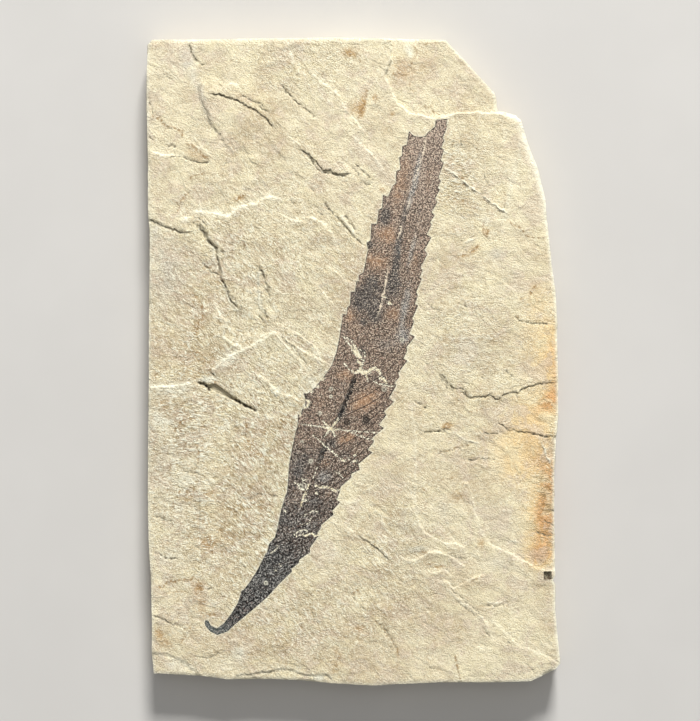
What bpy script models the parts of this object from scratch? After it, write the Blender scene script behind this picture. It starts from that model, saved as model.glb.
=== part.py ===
"""Fossil leaf plate: a split slab of pale shale with a long toothed leaf pressed into its face.

The slab lies on its back. The leaf faces +Z and its tip points to +Y. The origin is the middle
of the flat underside. The leaf is a dark film of its own, let into a shallow recess of the slab.
"""

import math
from dataclasses import dataclass

import bmesh
import bpy
from mathutils import Matrix, Vector, noise

MM = 0.001                      # one millimetre, in metres

COLLECTION = "fossil_leaf_plate"
CUTTER_COLLECTION = "cutters"

# ---------------------------------------------------------------- driving dimensions
SLAB_THICKNESS = 12.0 * MM      # underside to the bedding plane that carries the leaf
SLAB_CELL = 3.5 * MM            # spacing of the relief's points across the face
RIM_WIDTH = 1.0 * MM            # worn edge round the face
RIM_DROP = 0.6 * MM             # how far the worn edge falls
SHOULDER_EXTRA = 1.0 * MM       # extra width of the worn edge along the curved right shoulder
SHOULDER_FROM_X = 50.0 * MM
SHOULDER_FROM_Y = 35.0 * MM
SHOULDER_FULL_Y = 70.0 * MM
BED_LEVELS = (3.2 * MM, 7.4 * MM)   # beds that stand back a little in the broken sides
BED_SETBACK = 0.8 * MM          # deepest such setback
BED_WAVE = 21.0 * MM            # length over which a setback comes and goes
NOISE_PEAK = 0.6                # largest value that the smooth noise reaches in practice

SWELL = 0.35 * MM               # soft rise and fall of the split face
SWELL_LENGTH = 24.0 * MM
LEAF_CALM = 7.0 * MM            # distance from the leaf over which the relief fades to flat

LEAF_THICKNESS = 0.6 * MM
LEAF_GAP = 0.3 * MM             # clearance round and under the leaf
LEAF_NOTCH_LEAN = 0.18          # how far up the next tooth a notch sits, as a share of its length
MITRE_LIMIT = 1.6               # longest corner of a grown outline, in grown distances

CUT_HEADROOM = 6.0 * MM         # how far a cutter stands above the face
CORNER_FLAKE_DEPTH = 0.8 * MM   # lamina lost at the upper right corner, at its middle
CORNER_FLAKE_TILT = math.radians(0.9)
FOOT_FLAKE_DEPTH = 1.3 * MM
EDGE_FLAKE_DEPTH = 0.9 * MM
SLOT_DEPTH = 2.4 * MM
PIT_CENTRE = (64.7, -71.3)      # mm
PIT_SIZE = 2.6 * MM
PIT_DEPTH = 1.0 * MM
PIT_TURN = math.radians(8.0)

WELD = 0.01 * MM                # points closer than this are one point
GRID_SNAP = 0.05 * MM           # a cut this close to a corner goes through the corner

# Slab outline in mm, anticlockwise from the lower left corner.
SLAB_OUTLINE = (
    (-66.8, -104.2), (-49.5, -105.2), (-41.8, -106.2), (-27.8, -106.2), (-17.8, -106.5),
    (-7.8, -107.5), (6.2, -108.3), (15.5, -107.8), (28.8, -107.2), (48.8, -107.2),
    (59.2, -106.8), (63.8, -104.7), (67.5, -102.8), (69.2, -100.8), (68.8, -96.2),
    (68.2, -90.8), (67.5, -82.8), (67.5, -74.8), (66.7, -72.9), (67.5, -71.4),
    (67.3, -62.0), (67.2, -49.0), (67.2, -36.2), (67.8, -26.2), (68.5, -17.8),
    (68.5, -7.8), (68.2, 3.8), (68.2, 12.2), (67.5, 23.8), (66.2, 33.2), (65.5, 40.5),
    (64.5, 49.2), (64.4, 53.2), (63.5, 57.2), (61.5, 65.2), (59.8, 69.2), (58.2, 73.2),
    (57.2, 77.2), (56.2, 80.5), (54.2, 82.5), (50.8, 83.5), (48.2, 83.8), (47.8, 87.8),
    (47.2, 89.8), (39.0, 98.8), (30.8, 107.5), (22.2, 107.8), (7.0, 108.0), (-7.8, 108.3),
    (-37.8, 107.8), (-67.2, 107.5), (-68.8, 105.8), (-69.2, 97.2), (-69.2, 83.8),
    (-68.8, 67.2), (-68.8, 52.2), (-68.2, 42.2), (-68.2, 32.2), (-68.5, 10.5),
    (-68.5, -12.8), (-68.8, -29.5), (-68.8, -49.5), (-68.5, -61.2), (-67.8, -72.8),
    (-67.5, -86.2), (-67.5, -97.8),
)

# Leaf margins in mm: (x, y, depth of the notch above the tooth whose tip this is). A depth of
# zero is a smooth point of the margin. Both run from the stalk up to the broken tip.
LEAF_RIGHT = (
    (-42.0, -89.9, 0.0), (-39.3, -87.4, 0.0), (-34.6, -83.5, 0.0), (-29.1, -78.8, 0.0),
    (-24.6, -73.9, 0.0), (-20.6, -70.0, 0.7), (-18.3, -67.2, 0.7), (-14.5, -63.6, 0.8),
    (-11.5, -57.8, 0.8), (-11.0, -55.7, 0.7), (-6.7, -51.0, 1.0), (-4.5, -46.9, 1.2),
    (-4.5, -43.0, 0.7), (-0.7, -38.6, 1.0), (2.0, -36.1, 1.5), (6.2, -30.3, 1.7),
    (6.7, -26.8, 1.2), (10.0, -22.2, 1.8), (10.8, -18.0, 1.3), (13.4, -13.5, 1.8),
    (14.2, -8.0, 1.0), (15.3, -5.2, 1.0), (17.9, 0.3, 1.3), (17.8, 3.5, 0.8),
    (20.4, 8.3, 1.8), (20.1, 13.2, 0.8), (21.5, 18.6, 1.0), (21.4, 21.9, 0.8),
    (22.7, 27.5, 0.8), (23.0, 30.1, 1.0), (24.6, 35.8, 1.3), (25.9, 41.4, 1.6),
    (26.0, 45.6, 0.8), (27.0, 48.6, 1.2), (27.9, 53.2, 1.0), (28.7, 57.3, 0.7),
    (29.1, 60.1, 1.0), (30.0, 66.2, 1.0), (30.1, 70.6, 1.0), (30.2, 73.6, 0.8),
    (31.3, 78.3, 0.5), (31.3, 80.8, 0.0),
)
LEAF_TIP = (
    (27.4, 80.5), (27.3, 78.2), (26.2, 77.5), (24.9, 76.4), (23.9, 75.0), (21.8, 74.8),
    (20.0, 75.2),
)
LEAF_LEFT = (
    (-48.5, -86.4, 0.0), (-47.6, -88.0, 0.0), (-45.6, -89.1, 0.0), (-43.2, -87.4, 0.0),
    (-40.7, -84.1, 0.0), (-38.5, -80.5, 0.0), (-37.3, -76.6, 0.3), (-34.0, -72.8, 0.0),
    (-31.8, -69.2, 0.0), (-29.3, -64.2, 0.3), (-28.1, -60.9, 0.0), (-26.7, -59.2, 0.3),
    (-25.5, -56.2, 0.0), (-24.2, -49.9, 0.0), (-22.6, -44.4, 0.3), (-21.8, -40.2, 0.0),
    (-21.5, -34.8, 0.0), (-20.3, -28.2, 0.0), (-19.1, -22.9, 0.3), (-18.4, -17.4, 0.8),
    (-16.9, -15.5, 0.7), (-16.0, -12.8, 0.0), (-16.6, -10.4, 0.9), (-13.2, -9.1, 0.0),
    (-10.1, -5.5, 0.0), (-7.1, -1.1, 0.0), (-5.6, 3.3, 0.0), (-4.6, 8.6, 0.0),
    (-3.8, 13.6, 0.0), (-3.6, 15.8, 1.2), (-2.0, 18.1, 0.7), (-0.9, 23.2, 1.2),
    (1.0, 26.6, 0.7), (1.7, 28.7, 1.2), (4.7, 36.5, 0.3), (4.4, 39.5, 1.0),
    (6.0, 45.8, 1.6), (8.4, 50.5, 1.0), (9.8, 55.5, 1.6), (13.1, 58.6, 0.8),
    (14.3, 63.4, 1.2), (15.3, 68.0, 0.7), (16.3, 71.8, 1.2),
    (18.5, 76.7, 0.0),
)
LEAF_STALK_END = ((-49.5, -86.4), (-49.4, -88.0), (-47.8, -89.9), (-45.4, -91.1))

# Outlines in mm of what has flaked off the face. Each runs past the slab's edge where the
# flake did.
CORNER_FLAKE = (
    (10.8, 112.0), (10.8, 107.2), (10.2, 98.2), (12.2, 91.5), (17.2, 85.5), (23.0, 82.2),
    (28.8, 81.3), (37.2, 82.5), (45.0, 83.1), (49.4, 83.3), (54.0, 112.0),
)
FOOT_FLAKE = (
    (-72.0, -97.0), (-72.0, -112.0), (-49.0, -112.0), (-49.8, -105.3), (-53.5, -102.2),
    (-57.8, -98.8), (-62.2, -98.2), (-66.5, -97.5),
)
EDGE_FLAKE = (
    (-39.0, -112.0), (-8.0, -112.0), (-9.0, -104.2), (-15.5, -104.8), (-20.8, -102.7),
    (-26.0, -102.7), (-32.8, -104.2), (-38.2, -104.8),
)
SLOT = (
    (-52.8, -6.8), (-47.8, -9.4), (-40.8, -13.0), (-32.2, -16.6), (-40.8, -11.6),
    (-44.0, -7.8), (-46.4, -5.4), (-49.0, -6.2),
)


@dataclass(frozen=True)
class Ledge:
    """A break between two laminae: the face rises to the left of the path as it is walked."""

    name: str
    path: tuple            # mm
    rise: float            # m, on the left-hand side
    fade: float = 9.0 * MM  # distance over which the raised lamina slopes back down


LEDGES = (
    Ledge("shoulder_ridge", ((-21.2, 53.2), (-28.2, 54.8), (-32.8, 53.5), (-38.5, 51.2),
                             (-41.2, 49.0), (-47.8, 49.2), (-53.5, 49.2), (-57.8, 45.5)), 0.9 * MM),
    Ledge("shoulder_step", ((-26.2, 50.5), (-19.5, 48.5), (-12.8, 44.8), (-10.5, 39.8),
                            (-9.8, 36.5)), -0.5 * MM),
    Ledge("left_crack", ((-68.5, 47.5), (-60.8, 44.5), (-56.2, 42.8), (-53.8, 43.2)), 0.6 * MM),
    Ledge("left_diagonal", ((-53.5, 46.0), (-48.8, 41.2), (-45.5, 37.2), (-45.7, 31.2),
                            (-41.8, 21.5), (-38.5, 17.2), (-38.2, 13.8)), 0.8 * MM),
    Ledge("upper_arc", ((-47.8, 89.2), (-43.5, 88.8), (-38.5, 86.6), (-33.8, 84.2),
                        (-30.0, 81.3), (-27.7, 78.7)), 0.8 * MM),
    Ledge("upper_fold", ((-51.2, 95.5), (-50.2, 84.3), (-46.8, 78.8), (-43.5, 74.5),
                         (-40.3, 69.3)), 0.5 * MM),
    Ledge("upper_step", ((-18.3, 70.3), (-15.2, 68.5), (-12.7, 64.7), (-9.8, 63.5),
                         (-5.8, 63.0), (-1.0, 62.2)), 0.7 * MM),
    Ledge("top_step", ((-1.2, 89.7), (-7.8, 90.5), (-11.2, 93.0), (-14.5, 97.2)), 0.5 * MM),
    Ledge("left_fold", ((-53.7, 67.2), (-60.0, 67.3), (-67.8, 69.7)), 0.4 * MM),
    Ledge("leaf_ridge", ((-10.8, -4.4), (-15.2, -1.2), (-19.8, 3.5), (-26.3, 11.2),
                         (-30.0, 9.2)), 0.5 * MM),
    Ledge("slot_ridge", ((-16.5, -12.5), (-25.3, -10.5), (-28.2, -7.2), (-32.8, -3.5),
                         (-35.5, 2.2)), 0.5 * MM),
    Ledge("left_ridge", ((-52.8, -6.7), (-61.8, -8.5), (-67.8, -10.8)), 0.6 * MM),
    Ledge("right_crack", ((29.7, -4.8), (32.8, -9.0), (38.5, -11.8), (46.2, -11.5),
                          (51.2, -10.7), (55.8, -8.5), (61.0, -7.5), (68.5, -7.8)), 0.7 * MM),
    Ledge("right_seam", ((23.5, -23.5), (32.5, -23.2), (47.8, -24.0), (61.0, -23.8),
                         (68.5, -24.0)), 0.3 * MM),
    Ledge("lower_ledge", ((42.8, -67.8), (39.5, -64.5), (36.0, -61.2), (29.2, -59.2),
                          (22.7, -57.5), (21.2, -51.7), (21.7, -39.5), (20.5, -31.2),
                          (20.5, -23.5)), 0.6 * MM),
    Ledge("lower_right_ledge", ((63.2, -69.2), (56.2, -64.8), (49.2, -61.8), (43.8, -58.8),
                                (41.2, -54.5), (40.5, -47.8), (39.5, -40.2), (36.2, -35.2)),
          0.6 * MM),
    Ledge("lower_flake", ((4.7, -60.2), (8.8, -62.8), (11.5, -65.5), (14.5, -67.8)), 0.5 * MM),
    Ledge("foot_ridge", ((67.8, -97.8), (58.8, -91.0), (48.8, -87.2)), 0.5 * MM),
    Ledge("foot_bench", ((42.8, -71.3), (33.4, -75.5), (28.5, -72.8)), 0.4 * MM),
)
LEDGE_STEEPNESS = 2.2 * MM      # width of a ledge's own face
LEDGE_END = 4.0 * MM            # length over which a ledge dies out past its ends

# Colours, linear RGB with alpha.
STONE_COLOUR = (0.73, 0.60, 0.40, 1.0)
STONE_ROUGHNESS = 0.9
LEAF_COLOUR = (0.085, 0.058, 0.040, 1.0)
LEAF_ROUGHNESS = 0.62


def clear_scene():
    """Remove every object and the collections of an earlier run."""
    for thing in list(bpy.data.objects):
        bpy.data.objects.remove(thing, do_unlink=True)
    for name in (COLLECTION, CUTTER_COLLECTION):
        old = bpy.data.collections.get(name)
        if old:
            bpy.data.collections.remove(old)


def new_collection(name):
    collection = bpy.data.collections.new(name)
    bpy.context.scene.collection.children.link(collection)
    return collection


def principled(name, colour, roughness):
    material = bpy.data.materials.new(name)
    material.use_nodes = True
    shader = material.node_tree.nodes["Principled BSDF"]
    shader.inputs["Base Color"].default_value = colour
    shader.inputs["Roughness"].default_value = roughness
    shader.inputs["Metallic"].default_value = 0.0
    return material


def metres(points):
    """Turn (x, y) pairs in mm into 2D vectors in metres."""
    return [Vector(point[:2]) * MM for point in points]


def smooth_step(value):
    value = min(max(value, 0.0), 1.0)
    return value * value * (3.0 - 2.0 * value)


def plate(name, outline, bottom, top, collection):
    """A flat piece of the given outline between two heights, as a welded mesh object."""
    curve = bpy.data.curves.new(name, "CURVE")
    curve.dimensions = "2D"
    curve.fill_mode = "BOTH"
    curve.extrude = (top - bottom) / 2
    spline = curve.splines.new("POLY")
    spline.points.add(len(outline) - 1)
    for control, point in zip(spline.points, outline):
        control.co = (point.x, point.y, 0.0, 1.0)
    spline.use_cyclic_u = True
    guide = bpy.data.objects.new(name + "_outline", curve)
    guide.location.z = (top + bottom) / 2
    collection.objects.link(guide)

    depsgraph = bpy.context.evaluated_depsgraph_get()
    mesh = bpy.data.meshes.new_from_object(guide.evaluated_get(depsgraph))
    mesh.name = name
    mesh.transform(guide.matrix_world)
    bpy.data.objects.remove(guide, do_unlink=True)
    bpy.data.curves.remove(curve)

    body = bmesh.new()
    body.from_mesh(mesh)
    bmesh.ops.remove_doubles(body, verts=body.verts, dist=WELD)
    bmesh.ops.recalc_face_normals(body, faces=body.faces)
    body.to_mesh(mesh)
    body.free()
    piece = bpy.data.objects.new(name, mesh)
    collection.objects.link(piece)
    return piece


def nearest_on_path(point, path):
    """Distance to an open path, signed positive on its left, and the path's hold there.

    The hold is 1 beside the path and falls to 0 over LEDGE_END past each of its ends.
    """
    best = None
    for start, end in zip(path, path[1:]):
        run = end - start
        share = min(max((point - start).dot(run) / run.length_squared, 0.0), 1.0)
        foot = start + run * share
        away = point - foot
        if best is None or away.length < abs(best[0]):
            side = math.copysign(1.0, run.x * away.y - run.y * away.x)
            best = (side * away.length, foot, run.normalized())
    distance, foot, along = best
    overrun = 0.0
    if foot in (path[0], path[-1]):
        overrun = abs((point - foot).dot(along))
    return distance, 1.0 - smooth_step(overrun / LEDGE_END)


def leaf_outline():
    """The leaf's outline: two toothed margins, the broken tip and the curled stalk end."""
    right = toothed(LEAF_RIGHT, inward=1)
    left = toothed(LEAF_LEFT, inward=-1)
    return right + metres(LEAF_TIP) + left[::-1] + metres(LEAF_STALK_END)


def toothed(margin, inward):
    """A margin from its tooth tips: above each tip the edge drops in to a notch.

    inward is 1 where the leaf lies to the left of the margin as it runs, -1 to the right.
    """
    points = []
    for here, above in zip(margin, margin[1:] + margin[-1:]):
        tip = Vector(here[:2])
        points.append(tip)
        if here[2] > 0.0:
            run = Vector(above[:2]) - tip
            across = Vector((-run.y, run.x)).normalized() * inward
            points.append(tip + run * LEAF_NOTCH_LEAN + across * here[2])
    return metres(points)


def grown(outline, distance):
    """An anticlockwise outline moved outwards by a distance, with mitres held short."""
    result = []
    for before, here, after in zip(outline[-1:] + outline[:-1], outline, outline[1:] + outline[:1]):
        first = (here - before).normalized()
        second = (after - here).normalized()
        out_first = Vector((first.y, -first.x))
        out_second = Vector((second.y, -second.x))
        middle = (out_first + out_second).normalized()
        reach = 1.0 / max(middle.dot(out_first), 1.0 / MITRE_LIMIT)
        result.append(here + middle * distance * reach)
    return result


def face_relief(point, ledges, leaf_points):
    """Height of the split face over its bedding plane at a point.

    ledges pairs each ledge with its path in metres. Near the leaf the face is flat.
    """
    near_leaf = min((point - leaf_point).length for leaf_point in leaf_points)
    height = SWELL * noise.noise((point / SWELL_LENGTH).to_3d())
    for ledge, path in ledges:
        distance, hold = nearest_on_path(point, path)
        step = smooth_step(distance / LEDGE_STEEPNESS + 0.5)
        height += ledge.rise * step * hold * math.exp(-max(distance, 0.0) / ledge.fade)
    return height * smooth_step(near_leaf / LEAF_CALM)


def cut_into_cells(body):
    """Cut the flat face along a square grid of lines, so that it can be given relief."""
    corners = [vert.co.copy() for face in body.faces if is_top(face) for vert in face.verts]
    for axis in (0, 1):
        low = min(corner[axis] for corner in corners)
        high = max(corner[axis] for corner in corners)
        count = round((high - low) / SLAB_CELL)
        normal = Vector((1.0, 0.0, 0.0)) if axis == 0 else Vector((0.0, 1.0, 0.0))
        for index in range(1, count):
            level = low + (high - low) * index / count
            tops = [face for face in body.faces if is_top(face)]
            edges = {edge for face in tops for edge in face.edges}
            verts = {vert for face in tops for vert in face.verts}
            bmesh.ops.bisect_plane(body, geom=[*verts, *edges, *tops], dist=GRID_SNAP,
                                   plane_co=normal * level, plane_no=normal)


def is_top(face):
    """Whether a face lies on the bedding plane, inside the worn rim."""
    return all(vert.co.z > SLAB_THICKNESS - WELD for vert in face.verts)


def set_back_beds(body):
    """Give the broken sides two beds that stand back by a varying amount."""
    for level in BED_LEVELS:
        bmesh.ops.bisect_plane(body, geom=[*body.verts, *body.edges, *body.faces],
                               dist=WELD, plane_co=(0.0, 0.0, level), plane_no=(0.0, 0.0, 1.0))
    body.normal_update()
    moves = []
    for vert in body.verts:
        if any(abs(vert.co.z - level) < WELD for level in BED_LEVELS):
            outward = Vector((vert.normal.x, vert.normal.y, 0.0)).normalized()
            wave = noise.noise(vert.co / BED_WAVE + Vector((0.0, 0.0, vert.co.z / MM)))
            moves.append((vert, -outward * BED_SETBACK * abs(wave) / NOISE_PEAK))
    for vert, move in moves:
        vert.co += move


def make_slab(collection, leaf_points):
    """The stone slab before anything is broken or let into it."""
    slab = plate("slab", metres(SLAB_OUTLINE), 0.0, SLAB_THICKNESS, collection)
    body = bmesh.new()
    body.from_mesh(slab.data)
    for side in (1.0, -1.0):
        caps = [face for face in body.faces if face.normal.z * side > 0.5]
        bmesh.ops.dissolve_faces(body, faces=caps)
    set_back_beds(body)

    top = next(face for face in body.faces if is_top(face))
    bmesh.ops.inset_region(body, faces=[top], thickness=RIM_WIDTH, use_even_offset=True)
    inner = set(top.verts)
    rim = [vert for vert in body.verts if vert.co.z > SLAB_THICKNESS - WELD and vert not in inner]
    for vert in inner:
        if vert.co.x > SHOULDER_FROM_X and vert.co.y > SHOULDER_FROM_Y:
            span = (vert.co.y - SHOULDER_FROM_Y) / (SHOULDER_FULL_Y - SHOULDER_FROM_Y)
            vert.co.x -= SHOULDER_EXTRA * smooth_step(span)
    for vert in rim:
        vert.co.z -= RIM_DROP
    cut_into_cells(body)

    ledges = [(ledge, metres(ledge.path)) for ledge in LEDGES]
    for vert in body.verts:
        if vert.co.z > SLAB_THICKNESS - RIM_DROP - WELD:
            vert.co.z += face_relief(vert.co.xy, ledges, leaf_points)
    bmesh.ops.triangulate(body, faces=body.faces)
    body.to_mesh(slab.data)
    body.free()
    return slab


def flake_cutter(name, outline, depth, collection, tilt=0.0):
    """A cutter of an outline in mm that takes the face down by a depth.

    A tilt turns it about the middle of its own floor, so that it cuts deeper towards +X.
    """
    points = metres(outline)
    cutter = plate(name, points, SLAB_THICKNESS - depth, SLAB_THICKNESS + CUT_HEADROOM, collection)
    middle = sum(points, Vector((0.0, 0.0))) / len(points)
    pivot = Matrix.Translation((middle.x, middle.y, SLAB_THICKNESS - depth))
    cutter.data.transform(pivot @ Matrix.Rotation(tilt, 4, "Y") @ pivot.inverted())
    return cutter


def pit_cutter(collection):
    """The small square pit where a crystal has weathered out beside the right edge."""
    bpy.ops.mesh.primitive_cube_add(size=1.0)
    cutter = bpy.context.active_object
    cutter.name = "pit_cutter"
    for owner in list(cutter.users_collection):
        owner.objects.unlink(cutter)
    collection.objects.link(cutter)
    height = PIT_DEPTH + CUT_HEADROOM
    place = Matrix.Translation((PIT_CENTRE[0] * MM, PIT_CENTRE[1] * MM,
                                SLAB_THICKNESS - PIT_DEPTH + height / 2))
    turn = Matrix.Rotation(PIT_TURN, 4, "Z")
    cutter.data.transform(place @ turn @ Matrix.Diagonal((PIT_SIZE, PIT_SIZE, height, 1.0)))
    return cutter


def cut(target, cutter):
    """Take a cutter away from a piece with a Boolean, and hide the cutter."""
    cutter.hide_render = True
    cutter.display_type = "WIRE"
    modifier = target.modifiers.new(cutter.name, "BOOLEAN")
    modifier.operation = "DIFFERENCE"
    modifier.solver = "EXACT"
    modifier.object = cutter


def main():
    clear_scene()
    parts = new_collection(COLLECTION)
    cutters = new_collection(CUTTER_COLLECTION)

    outline = leaf_outline()
    leaf = plate("leaf", outline, SLAB_THICKNESS - LEAF_THICKNESS, SLAB_THICKNESS, parts)
    leaf.data.materials.append(principled("leaf_film", LEAF_COLOUR, LEAF_ROUGHNESS))

    slab = make_slab(parts, outline)
    slab.data.materials.append(principled("shale", STONE_COLOUR, STONE_ROUGHNESS))

    recess_floor = SLAB_THICKNESS - LEAF_THICKNESS - LEAF_GAP
    recess = plate("leaf_recess_cutter", grown(outline, LEAF_GAP), recess_floor,
                   SLAB_THICKNESS + CUT_HEADROOM, cutters)
    for cutter in (
        flake_cutter("corner_flake_cutter", CORNER_FLAKE, CORNER_FLAKE_DEPTH, cutters,
                     CORNER_FLAKE_TILT),
        flake_cutter("foot_flake_cutter", FOOT_FLAKE, FOOT_FLAKE_DEPTH, cutters),
        flake_cutter("edge_flake_cutter", EDGE_FLAKE, EDGE_FLAKE_DEPTH, cutters),
        flake_cutter("slot_cutter", SLOT, SLOT_DEPTH, cutters),
        pit_cutter(cutters),
        recess,
    ):
        cut(slab, cutter)


main()
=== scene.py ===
"""Looks of a fossil leaf plate: a slab of split shale with a long saw-toothed leaf in its face.

The slab's outline and the leaf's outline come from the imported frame. Lengths are in millimetres
until a mesh is made, and a path or an outline is an array of (x, y) points.
"""

import logging
import math
from dataclasses import dataclass
from enum import Enum
from typing import ClassVar

import bmesh
import bpy
import numpy as np
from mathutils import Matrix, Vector, geometry


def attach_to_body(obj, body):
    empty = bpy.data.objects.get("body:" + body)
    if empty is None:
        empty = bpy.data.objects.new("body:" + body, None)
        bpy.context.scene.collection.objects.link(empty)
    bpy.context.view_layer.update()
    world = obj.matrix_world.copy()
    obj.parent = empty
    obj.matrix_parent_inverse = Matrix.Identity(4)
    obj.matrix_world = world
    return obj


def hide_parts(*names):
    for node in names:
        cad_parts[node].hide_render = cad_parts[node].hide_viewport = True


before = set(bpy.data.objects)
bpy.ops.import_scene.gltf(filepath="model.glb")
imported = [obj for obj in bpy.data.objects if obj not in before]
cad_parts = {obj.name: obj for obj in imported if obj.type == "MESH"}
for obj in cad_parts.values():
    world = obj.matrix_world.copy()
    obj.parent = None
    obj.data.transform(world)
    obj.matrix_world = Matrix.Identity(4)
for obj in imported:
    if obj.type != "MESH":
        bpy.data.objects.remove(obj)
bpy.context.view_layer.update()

MM = 0.001
IMAGE_HEIGHT = 721
BODY = "root"
FACE_LEVEL = 12.0               # height of the bedding plane that carries the leaf
SHARP_ANGLE = math.radians(50.0)

Colour = tuple[float, float, float, float]

log = logging.getLogger("fossil_leaf_plate")


class Form(Enum):
    """What kind of mark crosses the face. A mark also paints light into the colour: painted shade in
    cracks, grooves, dark parts of seams and steps that rise to the left; pale edges with painted highlight
    on flakes, ridges, pale parts of seams and steps that rise to the right.
    """

    LEDGE = "raises one side of the path, and slopes back down away from it"
    FLAKE = "lowers the whole left side of the path"
    CRACK = "opens a thin dark crack"
    GROOVE = "hollows a ragged, hatched furrow"
    RIDGE = "raises a thin pale rib"
    SEAM = "draws a straight hairline, dark in parts and pale in others"
    STAIN = "draws a thin brown line with no relief"


def numbers(text: str) -> list[tuple[float, ...]]:
    """Groups of numbers: spaces part the groups, commas the numbers of a group."""
    return [tuple(float(value) for value in group.split(",")) for group in text.split()]


def rows_of(table: str) -> list[str]:
    """A text table's rows without its notes, where an indented line goes on from the line above."""
    joined = table.replace("\n  ", " ")
    return [row for row in joined.splitlines() if row and not row.startswith("#")]


@dataclass(frozen=True)
class Break:
    """A mark of the split face.

    A LEDGE with a positive size raises the left of its path and gets painted shade along its step; with a
    negative size it raises the right and gets a painted highlight.
    """

    form: Form
    size: float
    width: float
    fade: float
    path: list[tuple[float, ...]]

    @classmethod
    def read(cls, row: str) -> "Break":
        """Read a mark.

        Args:
            row: The mark's row of BREAKS.

        Returns:
            The mark.
        """
        facts, path = row.split(":")
        form, *sizes = facts.split()
        return cls(Form[form], *map(float, sizes), numbers(path))


@dataclass(frozen=True)
class Patch:
    """A soft oval area of the face, for a swelling or a stain. A table has one group for each."""

    x: float
    y: float
    reach_x: float
    reach_y: float
    amount: float
    turn: float = 0.0
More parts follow.
